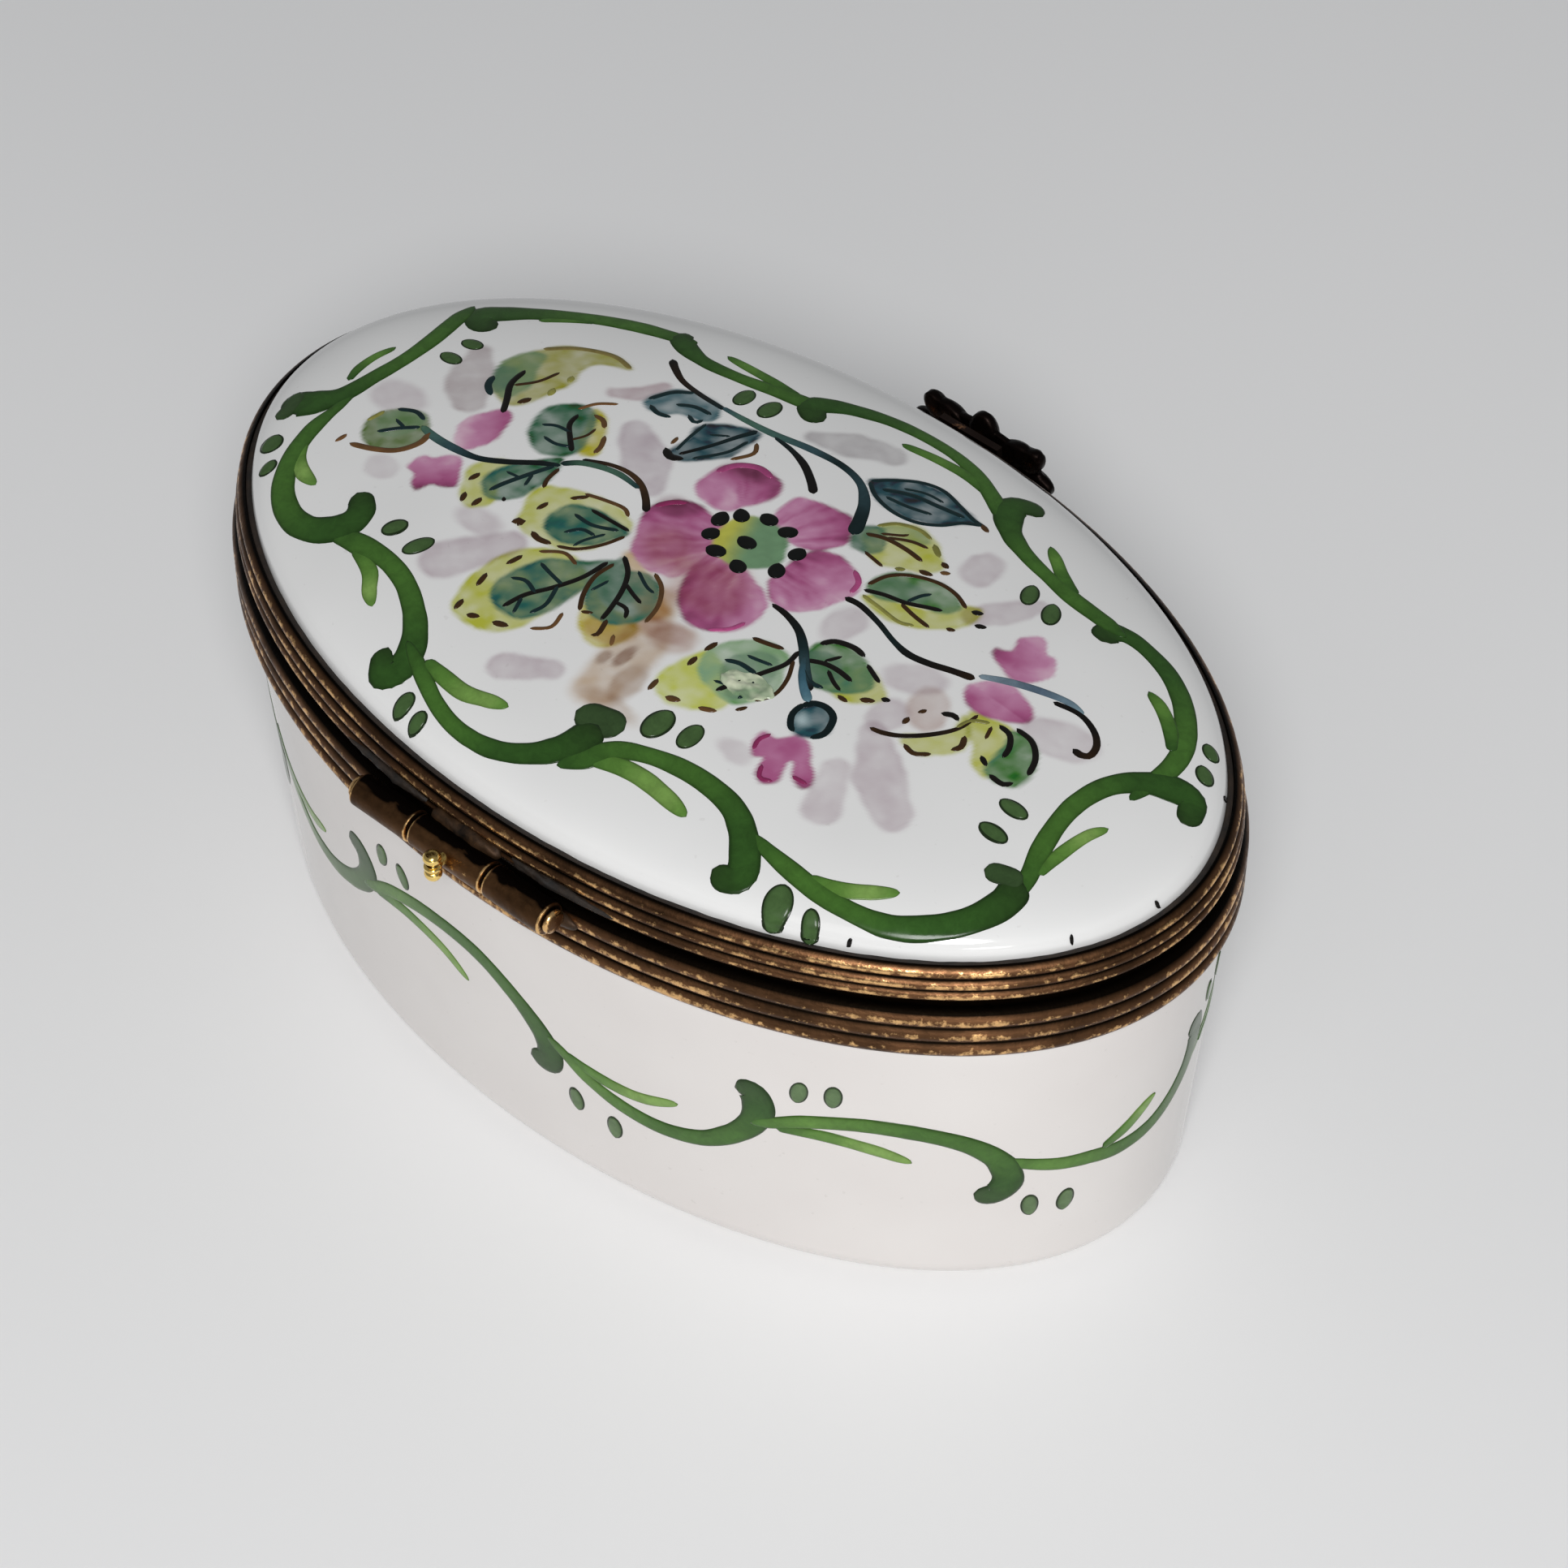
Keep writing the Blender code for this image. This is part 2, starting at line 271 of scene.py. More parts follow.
class Enamel:
    """Collects the strokes of one piece of decoration into one mesh."""
    # Across a stroke from edge to edge: the places, their heights and their paleness.
    WIDE = (np.array([-1, -0.88, -0.7, -0.4, 0, 0.4, 0.7, 0.88, 1]),
            np.array([0, 0.7, 0.95, 1, 1, 1, 0.95, 0.7, 0]),
            np.array([0.34, 0.42, 0.86, 1.0, 1.06, 1.0, 0.86, 0.42, 0.34]))
    THIN = (np.array([-1, -0.6, 0, 0.6, 1]),
            np.array([0, 0.8, 1, 0.8, 0]),
            np.array([0.9, 0.95, 1, 0.95, 0.9]))
    UNDER = np.array([0.97, -0.97])
    EDGE_SINK, UNDER_SINK = 0.012, 0.035
    STAGGER = 0.0035  # crossing strokes differ in height by at least this
    SMALLEST = 1e-3

    def __init__(self, name, skin, body, slot, material, lift=0.03):
        self.name, self.skin, self.body, self.slot, self.material = name, skin, body, slot, material
        self.lift, self.count = lift, 0
        self.verts, self.faces, self.colours, self.total = [], [], [], 0

    def stroke(self, points, widths, colours, pooled=1.0, step=0.2, tips=(1, 1), thin=False):
        """tips says how far each end tapers, in half widths; pooled, how dark the edges dry."""
        shades = spread(np.atleast_2d(colours), len(points))
        line, values, run = spline(points, np.column_stack([spread(widths, len(points)), shades]), step)
        width = values[:, 0] * (1 + 0.04 * ripple(run, 0 * run, 0.9, self.count))
        for distance, wanted in ((run, tips[0]), (run[-1] - run, tips[1])):
            near = np.clip(distance / np.maximum(width / 2 * wanted, self.SMALLEST), 0, 1)
            width = width * np.maximum(np.sqrt(np.clip(1 - (1 - near) ** 2, 0, 1)), 0.06)
        along = np.gradient(line, axis=0)
        along /= np.linalg.norm(along, axis=1, keepdims=True) + 1e-9
        left = np.stack([-along[:, 1], along[:, 0]], -1)

        def rail(places, heights):
            spot = line[:, None] + left[:, None] * (places[None, :] * width[:, None] / 2)[..., None]
            return self.skin(spot[..., 0], spot[..., 1], np.broadcast_to(heights, spot.shape[:2]))
        across, rise, edge = self.THIN if thin else self.WIDE
        lift = self.lift + self.STAGGER * (self.count % 9)
        rows = np.concatenate([rail(across, rise * (lift + self.EDGE_SINK) - self.EDGE_SINK),
                               rail(self.UNDER, -self.UNDER_SINK)], axis=1)
        mottle = 1 + 0.07 * ripple(run * 1.5, 0 * run, 0.6, self.count)
        rim = np.concatenate([1 - pooled * (1 - edge), [0.5, 0.5]])
        near_tip = np.minimum(run, run[-1] - run) / np.maximum(values[:, 0] * 0.12, self.SMALLEST)
        tip_dark = 1 - 0.45 * pooled * (1 - smooth(near_tip)) * (not thin)
        shade = values[:, None, 1:] * rim[None, :, None] * (mottle * tip_dark)[:, None, None]
        n, m = rows.shape[:2]
        self.faces += bands(n, m, inward=True, first=self.total)
        self.faces += end_caps(n, m, inward=True, first=self.total)
        self.verts.append(rows.reshape(-1, 3))
        self.colours.append(shade.reshape(-1, 3))
        self.total += n * m
        self.count += 1

    def line(self, points, width, colour, tips=(2.5, 2.5)):
        """A fine brush line, thinner at its ends."""
        self.stroke(points, width, colour, pooled=0.3, step=0.16, tips=tips, thin=True)

    def mark(self, x, y, length, width, angle, colour, pooled):
        c, s = facing(angle)
        dx, dy = c * length / 2, s * length / 2
        points = [(x - dx, y - dy), (x, y), (x + dx, y + dy)]
        self.stroke(points, width, colour, pooled, step=0.07, tips=(length / width, length / width))

    def dot(self, x, y, length, width, angle, colour, pooled=1.0, rim=0.0):
        """A pressed brush mark. A rim is a wider, darker mark under it."""
        lift = self.lift
        if rim:
            self.lift = lift * 0.45
            self.mark(x, y, length + rim, width + rim, angle, colour * 0.28, pooled)
            self.lift = lift + 0.02
        self.mark(x, y, length, width, angle, colour, pooled)
        self.lift = lift

    def finish(self):
        obj = new_mesh(self.name, np.vstack(self.verts), self.faces, self.material,
                       colours=np.clip(np.vstack(self.colours), 0, 1), sharp=None)
        place(obj, self.body, self.slot)


# --- materials ---------------------------------------------------------------
class Nodes:
    """Short names for building a node material."""
    def __init__(self, name):
        self.material = bpy.data.materials.new(name)
        self.material.use_nodes = True
        self.tree = self.material.node_tree
        self.shader = self.tree.nodes["Principled BSDF"]
        self.place = None

    def add(self, kind, **settings):
        node = self.tree.nodes.new(kind)
        for key, value in settings.items():
            if hasattr(node, key):
                setattr(node, key, value)
            else:
                node.inputs[key.replace("_", " ")].default_value = value
        return node

    def join(self, source, target):
        self.tree.links.new(source, target)

    def feed(self, socket, value):
        """Sets a socket to a number or a colour, or links it to another node's output."""
        if isinstance(value, (int, float)):
            socket.default_value = value
        elif isinstance(value, (tuple, np.ndarray)):
            socket.default_value = (*value, 1)
        else:
            self.join(value, socket)

    def set(self, **values):
        for key, value in values.items():
            self.shader.inputs[key.replace("_", " ")].default_value = value

    def attribute(self, name):
        return self.add("ShaderNodeAttribute", attribute_name=name)

    def noise(self, scale, detail=3.0, roughness=0.55, vector=None, distortion=0.0):
        """Noise in the object's own space, unless another vector is given."""
        node = self.add("ShaderNodeTexNoise", Scale=scale, Detail=detail, Roughness=roughness,
                        Distortion=distortion)
        if vector is None:
            self.place = self.place or self.add("ShaderNodeTexCoord").outputs["Object"]
            vector = self.place
        self.join(vector, node.inputs["Vector"])
        return node.outputs["Fac"]

    def ramp(self, value, *stops):
        node = self.add("ShaderNodeValToRGB")
        ramp = node.color_ramp
        while len(ramp.elements) < len(stops):
            ramp.elements.new(0.5)
        for element, (position, colour) in zip(ramp.elements, stops):
            element.position = position
            element.color = (*colour, 1) if np.size(colour) == 3 else (colour, colour, colour, 1)
        self.join(value, node.inputs["Fac"])
        return node.outputs["Color"]

    def math(self, operation, a, b):
        node = self.add("ShaderNodeMath", operation=operation)
        self.feed(node.inputs[0], a)
        self.feed(node.inputs[1], b)
        return node.outputs[0]

    def swing(self, value, amount):
        """The value's swing about 0.5, made larger or smaller."""
        return self.math("MULTIPLY", self.math("SUBTRACT", value, 0.5), amount)

    def mix(self, factor, a, b, blend="MIX"):
        node = self.add("ShaderNodeMix", data_type="RGBA", blend_type=blend)
        for slot, value in ((0, factor), (6, a), (7, b)):
            self.feed(node.inputs[slot], value)
        return node.outputs[2]

    def base(self, colour):
        self.join(colour, self.shader.inputs["Base Color"])

    def rough(self, value):
        self.join(value, self.shader.inputs["Roughness"])

    def bump(self, height, strength, distance):
        node = self.add("ShaderNodeBump", Strength=strength, Distance=distance * MM)
        self.join(height, node.inputs["Height"])
        self.join(node.outputs["Normal"], self.shader.inputs["Normal"])


def porcelain_material(name, low, high, painted=False):
    """White glaze with faint clouds, dark kiln specks and a slightly uneven gloss."""
    m = Nodes(name)
    glaze = m.ramp(m.noise(90, 2), (0.3, low), (0.7, high))
    speck = m.ramp(m.noise(2600, 1), (0.74, 0.0), (0.80, 1.0))
    glaze = m.mix(m.math("MULTIPLY", speck, 0.12), glaze, tone(150, 146, 138))
    if painted:
        glaze = m.mix(1.0, glaze, m.attribute("Paint").outputs["Color"], "MULTIPLY")
    m.base(glaze)
    m.rough(m.ramp(m.noise(260, 3), (0.3, 0.055), (0.8, 0.12)))
    m.set(IOR=1.52, Specular_IOR_Level=0.5)
    m.bump(m.noise(420, 2), 0.10, 0.05)
    return m.material


def enamel_material(name):
    """Fired overglaze colour: it sits proud, with brush streaks and pooled edges."""
    m = Nodes(name)
    streak = m.ramp(m.noise(1500, 4, 0.7, distortion=0.6), (0.3, 0.78), (0.7, 1.12))
    m.base(m.mix(1.0, m.attribute("Paint").outputs["Color"], streak, "MULTIPLY"))
    m.rough(m.ramp(m.noise(900, 2), (0.3, 0.12), (0.8, 0.26)))
    m.set(IOR=1.45, Specular_IOR_Level=0.22)
    m.bump(m.noise(1400, 3), 0.18, 0.03)
    return m.material


def flake_material(name):
    m = Nodes(name)
    # The whitish end of this ramp is painted highlight: glints put into the colour of the crazed glaze.
    m.base(m.ramp(m.noise(900, 2), (0.35, tone(120, 146, 112)), (0.65, tone(206, 212, 184))))
    m.set(Roughness=0.04, IOR=1.55, Specular_IOR_Level=0.8)
    return m.material


def brass_material(name, dark, bronze, gold, wear_from, rough, hatch=False):
    """Old brass: grime in the hollows, brown patina, rubbed gold on the crests."""
    m = Nodes(name)
    wear = m.attribute("wear").outputs["Fac"]
    patch = m.noise(230, 4, 0.6)
    fine = m.noise(2300, 3, 0.7)
    rub = m.math("ADD", wear, m.swing(patch, 1.1))
    if hatch:
        lay = m.add("ShaderNodeUVMap", uv_map="Lay").outputs["UV"]
        stretch = m.add("ShaderNodeMapping", Scale=(1.1, 4.0, 1.0))
        m.join(lay, stretch.inputs["Vector"])
        rub = m.math("ADD", rub, m.swing(m.noise(1.0, 3, 0.7, stretch.outputs["Vector"]), 0.35))
    rub = m.math("ADD", rub, m.swing(fine, 1.5))
    patina = m.ramp(patch, (0.32, dark * 2.2 + bronze * 0.25), (0.62, bronze))
    hollow = m.ramp(wear, (0.10, 1.0), (0.50, 0.0))
    shine = m.ramp(rub, (wear_from, 0.0), (wear_from + 0.36, 1.0))
    m.base(m.mix(shine, m.mix(hollow, patina, dark), gold))
    m.rough(m.ramp(rub, (0.2, rough[1]), (0.9, rough[0])))
    m.set(Metallic=1.0)
    m.bump(m.math("ADD", fine, m.math("MULTIPLY", patch, 0.6)), 0.5, 0.05)
    return m.material


def crust_material(name, low, high, rough=0.75, scale=1100, metallic=0.0):
    """A matt, grainy deposit: grime, solder or plaster."""
    m = Nodes(name)
    grain = m.noise(scale, 4, 0.7)
    m.base(m.ramp(grain, (0.3, low), (0.72, high)))
    m.rough(m.ramp(m.noise(scale * 0.6, 3), (0.3, rough - 0.12), (0.7, rough + 0.12)))
    m.set(Metallic=metallic)
    m.bump(grain, 0.6, 0.08)
    return m.material


LID_GLAZE = porcelain_material("painted_porcelain", tone(222, 222, 221), tone(228, 228, 227), True)
# The cup is the same white porcelain as the lid; its darker, warmer tones are painted shade, so the side
# wall reads dimmer than the lid's top.
CUP_GLAZE_SHADED = porcelain_material("white_porcelain_painted_shade", tone(216, 211, 208), tone(222, 218, 215))
ENAMEL = enamel_material("overglaze_enamel")
FLAKE_WITH_PAINTED_GLINTS = flake_material("crazed_glaze_painted_glints")
BAND_BRASS = brass_material("antique_brass", tone(12, 8, 5), tone(116, 82, 56), tone(230, 184, 126),
                            0.72, (0.26, 0.54), hatch=True)
HINGE_BRASS = brass_material("hinge_brass", tone(16, 10, 7), tone(118, 84, 54), tone(230, 186, 126),
                             0.72, (0.27, 0.52))
GOLD = brass_material("polished_brass", tone(70, 44, 16), tone(206, 158, 74), tone(246, 212, 128),
                      0.15, (0.10, 0.3))
CLASP_BLACK = brass_material("blackened_brass", tone(18, 14, 13), tone(74, 58, 52), tone(206, 150, 108),
                             0.60, (0.24, 0.44))
GRIME = crust_material("joint_grime", tone(10, 7, 5), tone(44, 32, 22))
SOLDER = crust_material("blackened_solder", tone(14, 10, 7), tone(88, 62, 38), 0.55, 700, 0.6)
PLASTER = crust_material("bedding_plaster", tone(150, 140, 122), tone(196, 188, 170), 0.85)


# --- turned and lofted brass and porcelain -----------------------------------
def lay_of(rings, turn):
    """The loft unrolled: distances round the oval and along the profile, for each loop."""
    around = np.append(turn, turn[0] + 2 * np.pi)
    arc = running(HALF_X * np.cos(around), HALF_Y * np.sin(around))
    steps = np.linalg.norm((np.roll(rings, -1, axis=0) - rings)[:, [0, 2]], axis=1)
    starts = np.concatenate([[0], np.cumsum(steps)[:-1]])
    coords = []
    for low, high in zip(starts, starts + steps):
        for left, right in zip(arc, arc[1:]):
            coords += [(left, low), (right, low), (right, high), (left, high)]
    return coords


def loft(name, rings, material, segments=360, ring_shaped=True, wear=None, sharp=40, shape=None):
    """Skins ovals given as (half x, half y, z). The seam is at the hinge."""
    rings = np.asarray(rings, float)
    count, turn = len(rings), circle(segments, np.pi / 2)
    points = np.stack([
        rings[:, :1] * np.cos(turn)[None],
        rings[:, 1:2] * np.sin(turn)[None],
        np.broadcast_to(rings[:, 2:3], (count, segments)),
    ], -1)
    if shape:
        points = shape(points)
    faces = bands(count, segments, closed=ring_shaped)
    if not ring_shaped:
        faces += end_caps(count, segments)
    values = {} if wear is None else {"wear": np.repeat(np.asarray(wear, float), segments)}
    obj = new_mesh(name, points.reshape(-1, 3), faces, material, values=values, sharp=sharp)
    if wear is not None:
        uv_layer(obj, "Lay", lay_of(rings, turn))
    return obj


def oval(inset, z):
    return (HALF_X - inset, HALF_Y - inset, z)


def ovals(*pairs):
    return [oval(inset, z) for inset, z in pairs]


def reeded(bottom, top, crest, depth, lean=0.0, lean_power=2.0, reeds=3, steps=16):
    """Rounded reeds with their wear: 0 in a groove, rising towards a crest."""
    rings, wear = [], []
    for reed in range(reeds):
        for step in range(steps + (reed == reeds - 1)):
            part = step / steps
            up = (reed + part) / reeds
            swell = math.sin(math.pi * part) ** 0.8 if 0 < part < 1 else 0.0
            inset = crest + depth * (1 - swell) + lean * up ** lean_power
            rings.append(oval(inset, bottom + (top - bottom) * up))
            wear.append(0.78 * swell ** 1.6)
    return rings, wear


def scooped(points):
    """Pushes a collar's back edge off the hinge barrel, so that the barrel lies in it."""
    reach, seat = SIDE_HIGH[0] + 0.75, BARREL_R + 0.3
    x, y, z = points[..., 0], points[..., 1] - HINGE_Y, points[..., 2] - HINGE_Z
    away = np.hypot(y, z)
    room = seat * smooth((reach - np.abs(x)) / 0.5)
    push = np.where((away < room) & (away > 1e-6), room / np.maximum(away, 1e-6), 1.0)
    points = points.copy()
    points[..., 1] = HINGE_Y + y * push
    points[..., 2] = HINGE_Z + z * push
    return points


def sprung(points):
    """The lid's band has sprung a little from the base's towards -X."""
    points = scooped(points)
    lift = 0.26 * smooth((-points[..., 0] - 7) / 19)
    up = np.clip((JOINT_Z - points[..., 2]) / (JOINT_Z - LID_LOW[2]), 0, 1)
    points[..., 2] += lift * up
    return points


COLLAR_SEGMENTS = 540
PLATE_SEAT = 22.9  # the ledge inside the lid's band that the plate is bedded on


def build_collars():
    low, top = BAND_LOW[2], BAND_HIGH[2]
    rings, wear = reeded(low, top - 0.12, -0.3, 0.30)
    rings += ovals((0.12, top - 0.04), (0.35, top), (1.2, top), (3.1, top), (3.3, top - 0.06),
                   (3.3, top - 0.5), (0.75, top - 0.5), (0.75, low))
    wear += [0.1, 0.1, 0.25, 0.35, 0.7, 0.3, 0.1, 0.1]
    place(loft("base_brass_band", rings, BAND_BRASS, COLLAR_SEGMENTS, wear=wear, shape=scooped),
          "base", "antique_brass", "base_collar")

    low, top = LID_LOW[2], JOINT_Z
    rings, wear = reeded(low, top, 0.0, 0.24, lean=0.36, lean_power=3.0)
    rings += ovals((0.64, top - 0.05), (0.65, top - 0.2), (0.65, PLATE_SEAT), (1.6, PLATE_SEAT),
                   (1.6, low), (0.5, low))
    wear += [0.1, 0.05, 0.05, 0.1, 0.2, 0.25]
    place(loft("lid_brass_band", rings, BAND_BRASS, COLLAR_SEGMENTS, wear=wear, shape=sprung),
          "lid", "antique_brass", "lid_collar")

    low, top = BEZEL_LOW[2], BEZEL_HIGH[2]
    rings = ovals((2.2, low), (2.7, low), (2.7, top - 0.12), (2.66, top - 0.04), (2.6, top),
                  (2.35, top), (2.24, top - 0.05), (2.2, top - 0.16))
    place(loft("base_locating_lip", rings, BAND_BRASS, wear=[0.2, 0.2, 0.35, 0.8, 0.9, 0.9, 0.8, 0.4]),
          "base", "antique_brass", "base_bezel")


def build_cup():
    """The cup's profile from the middle of the underside, up the wall, and down inside to its floor."""
    recess, neck, floor, bottom_edge = 0.52, 20.4, 2.6, 1.5
    rings = [(0.4, 0.25, recess), (10, 5, recess)]
    rings += ovals((6.4, 0.5), (5.9, 0.46), (5.5, 0.3), (5.25, 0.1), (5.0, 0.02), (4.7, 0), (3.2, 0))
    for a in np.radians(np.linspace(0, 90, 13)):
        rings.append(oval(2.9 - bottom_edge * math.sin(a), bottom_edge * (1 - math.cos(a))))
    rings += [oval(wall_inset(z), z) for z in np.linspace(2.2, WALL_TOP - 0.3, 24)]
    rings += ovals((0.34, WALL_TOP - 0.12), (0.42, WALL_TOP - 0.03), (0.6, WALL_TOP), (1.8, WALL_TOP),
                   (1.85, WALL_TOP + 0.1))
    rings += ovals((1.85, neck), (1.95, neck + 0.2), (2.15, neck + 0.3), (3.2, neck + 0.3),
                   (3.4, neck + 0.2), (3.5, neck))
    rings += [oval(3.5 + 0.4 * s, neck - 14.4 * s) for s in (0.1, 0.3, 0.5, 0.7, 0.9, 1.0)]
    for a in np.radians(np.arange(10, 90, 8)):
        rings.append(oval(3.9 + 1.6 * (1 - math.cos(a)), 6.0 - 2.95 * math.sin(a)))
    rings += ovals((6.2, floor + 0.22), (7.2, floor + 0.08), (9, floor))
    rings += [(12, 5, floor), (0.5, 0.2, floor)]
    place(loft("base_porcelain", rings, CUP_GLAZE_SHADED, 300, ring_shaped=False, sharp=55),
          "base", "porcelain", "base_cup")


def fill_ring(name, inner, outer, low, high, body):
    """Dark packing in a joint: an uneven ring between two ovals."""
    bulge = 0.06

    def rough(points):
        wave = 0.5 + 0.5 * ripple(points[..., 0], points[..., 1], 0.8, 2.0)
        points = points.copy()
        points[..., 2] -= 0.10 * wave * (points[..., 2] > high - bulge - 0.01)
        return points
    rings = ovals((outer, low), (inner, low), (inner, high - bulge), ((inner + outer) / 2, high),
                  (outer, high - bulge))
    place(loft(name, rings, GRIME, COLLAR_SEGMENTS, shape=rough), body, "antique_brass")


def turned(name, profile, axis, centre, material, wear, segments=64, hollow=False, sharp=45, dents=0.0):
    """A turned piece. Its profile is (radius, distance along the axis)."""
    profile, wear = np.asarray(profile, float), np.asarray(wear, float)
    count, turn = len(profile), circle(segments)
    c, s = np.cos(turn)[None], np.sin(turn)[None]
    points = np.stack([profile[:, :1] * c, profile[:, :1] * s,
                       np.broadcast_to(profile[:, 1:], (count, segments))], -1)
    if dents:
        points[..., :2] *= 1 + dents * ripple(points[..., 2] + c, s, 1.1, 4.0)[..., None]
    faces = bands(count, segments, closed=hollow)
    if not hollow:
        faces += end_caps(count, segments)
    turn_to = Vector((0, 0, 1)).rotation_difference(Vector(axis)).to_matrix()
    verts = points.reshape(-1, 3) @ np.array(turn_to).T + np.array(centre)
    worn = wear.reshape(-1) if wear.ndim == 2 else np.repeat(wear, segments)
    return new_mesh(name, verts, faces, material, values={"wear": worn}, sharp=sharp)


def build_barrels(axis, centre):
    """Three knuckles with bright turned lips; grime is caked along their undersides."""
    r, bore, segments = BARREL_R, 0.45, 64
    lip = [(bore, 0), (r - 0.07, 0), (r - 0.02, 0.02), (r, 0.07), (r, 0.14)]
    lip_wear = [0.2, 0.9, 1.3, 1.1, 0.4]
    middle = np.linspace(0.1, 0.9, 15)
    for side, start, end, body in (("left", SIDE_LOW[0], SIDE_HIGH[0], "base"),
                                   ("middle", BARREL_LOW[0], BARREL_HIGH[0], "lid"),
                                   ("right", -SIDE_HIGH[0], -SIDE_LOW[0], "base")):
        profile = [(radius, start + x) for radius, x in lip]
        profile += [(r, start + (end - start) * s) for s in middle]
        profile += [(radius, end - x) for radius, x in reversed(lip)]
        wear = lip_wear + [0.4] * len(middle) + lip_wear[::-1]
        turn = circle(segments)
        along = np.array(profile)[:, 1:]
        caked = np.cos(turn - math.radians(222)) + 0.3 * ripple(along, 2 * turn, 0.5, 2.0) - 0.58
        wear = np.array(wear)[:, None] - 0.62 * smooth(caked / 0.5 + 0.5)
        place(turned("hinge_barrel_" + side, profile, axis, centre, HINGE_BRASS, wear, segments,
                     hollow=True, dents=0.006),
              body, "antique_brass", "hinge_knuckle_" + side)


def build_hinge():
    axis, centre = (1, 0, 0), (0, HINGE_Y, HINGE_Z)
    build_barrels(axis, centre)

    end, head, shank = PIN_HIGH[0], (PIN_HIGH[2] - PIN_LOW[2]) / 2, 0.35
    inner = end - 0.3
    peened = [(0.05, end), (shank, end - 0.01), (head - 0.12, end - 0.05), (head - 0.03, end - 0.11),
              (head, end - 0.2), (head, inner), (shank, inner)]
    peened_wear = [0.6, 0.6, 0.75, 1.2, 1.1, 0.5, 0.4]
    place(turned("hinge_rod", [(r, -x) for r, x in peened] + peened[::-1], axis, centre, HINGE_BRASS,
                 peened_wear + peened_wear[::-1], 48, dents=0.004),
          "base", "antique_brass", "hinge_pin")

    knots = np.array([
        (0.05, -0.56), (0.20, -0.53), (0.33, -0.44), (0.41, -0.28), (0.43, -0.12), (0.36, 0.02),
        (0.24, 0.09), (0.28, 0.13), (0.41, 0.17), (0.43, 0.25), (0.41, 0.33), (0.27, 0.39),
        (0.22, 0.47), (0.27, 0.56), (0.36, 0.62), (0.43, 0.74), (0.44, 0.86), (0.40, 0.98),
        (0.30, 1.08), (0.16, 1.14), (0.04, 1.155)])
    fine, _, _ = spline(knots, np.ones((len(knots), 1)), 0.035)
    necks = fine[:, 0] < 0.3
    bead_y = (BEAD_LOW[1] + BEAD_HIGH[1]) / 2
    place(turned("hinge_bead", fine, (0, 0, 1), (0, bead_y, HINGE_Z), GOLD, np.where(necks, 0.1, 0.85),
                 48, sharp=None),
          "lid", "polished_brass", "hinge_stop_finial")
    # The short stem that carries the bead out from the middle barrel.
    stem = [(0.3, 0.6), (0.3, 0.8), (0.26, 0.95), (0.24, 1.1), (0.3, 1.2), (0.3, 1.36)]
    place(turned("hinge_bead_stem", stem, (0, 1, 0), (0, HINGE_Y, HINGE_Z + 0.25), GOLD,
                 [0.2, 0.2, 0.3, 0.3, 0.3, 0.3], 32),
          "lid", "polished_brass")


def lumpy(name, path, radii, material, body, seed, rough=0.22):
    """An uneven run of solder or packed grime along a path."""
    segments = 20
    path = np.asarray(path, float)
    count = max(12, int(np.linalg.norm(path[-1] - path[0]) / 0.14))
    along = np.linspace(-1, 1, count)
    spot = spread(path, count)
    radius = spread(radii, count) * np.sqrt(np.clip(1 - np.abs(along) ** 6, 0.004, 1))
    turn = circle(segments)
    c, s = np.cos(turn)[None], np.sin(turn)[None]
    wobble = 1 + rough * ripple(spot[:, :1] + c, s, 0.6, seed)
    wobble += 0.5 * rough * ripple(spot[:, :1] * 3 + c, s * 2, 0.5, seed + 2)
    ring = radius[:, None] * wobble
    points = spot[:, None] + np.stack([0 * ring, ring * c, ring * s], -1)
    faces = bands(count, segments, inward=True) + end_caps(count, segments, inward=True)
    place(new_mesh(name, points.reshape(-1, 3), faces, material,
                   values={"wear": np.full(count * segments, 0.4)}, sharp=None),
          body, "antique_brass")


def build_solder():
    for side, name in ((1, "left"), (-1, "right")):
        x0, x1 = 2.55 * side, 6.9 * side
        middle = (x0 + x1) / 2
        lumpy("solder_base_" + name, [(x0, 17.55, 20.75), (middle, 17.5, 20.75), (x1, 17.3, 20.8)],
              (0.42, 0.46, 0.34), SOLDER, "base", 1.0 + side)
        lumpy("grime_lid_" + name, [(x0, 17.25, 22.35), (middle, 17.2, 22.35), (8.6 * side, 16.75, 22.2)],
              (0.22, 0.26, 0.12), GRIME, "lid", 3.0 + side, rough=0.35)
    lumpy("solder_lid_middle", [(-2.2, 17.5, 22.3), (0, 17.5, 22.35), (2.2, 17.5, 22.3)],
          (0.42, 0.46, 0.42), SOLDER, "lid", 5.0)


# --- clasp -------------------------------------------------------------------
# Each lobe: centre x, centre z, angle, half length, half width, height.
MIDDLE_LOBES = [(0, 0, 0, 4.1, 1.95, 0.66), (0, 0, 0, 1.35, 1.15, 1.30),
                (0, 1.35, 90, 1.35, 0.85, 0.95), (0, -1.35, 90, 1.35, 0.8, 0.9)]
SIDE_LOBES = [(1.75, 1.05, 32, 1.45, 0.72, 0.95), (1.75, -1.0, -32, 1.4, 0.70, 0.9),
              (3.0, 0.1, 0, 1.5, 0.72, 0.85), (3.1, 1.35, 55, 0.85, 0.62, 0.85),
              (3.0, -1.25, -50, 0.8, 0.58, 0.8)]
LOBES = MIDDLE_LOBES + [lobe for x, z, angle, *size in SIDE_LOBES
                        for lobe in ((x, z, angle, *size), (-x, z, 180 - angle, *size))]
# Each bead of the flower's eye: x, z, radius, height.
EYE_BEADS = [(0, 0, 0.42, 0.32)] + [(0.75 * math.cos(t), 0.62 * math.sin(t), 0.2, 0.2) for t in circle(8)]


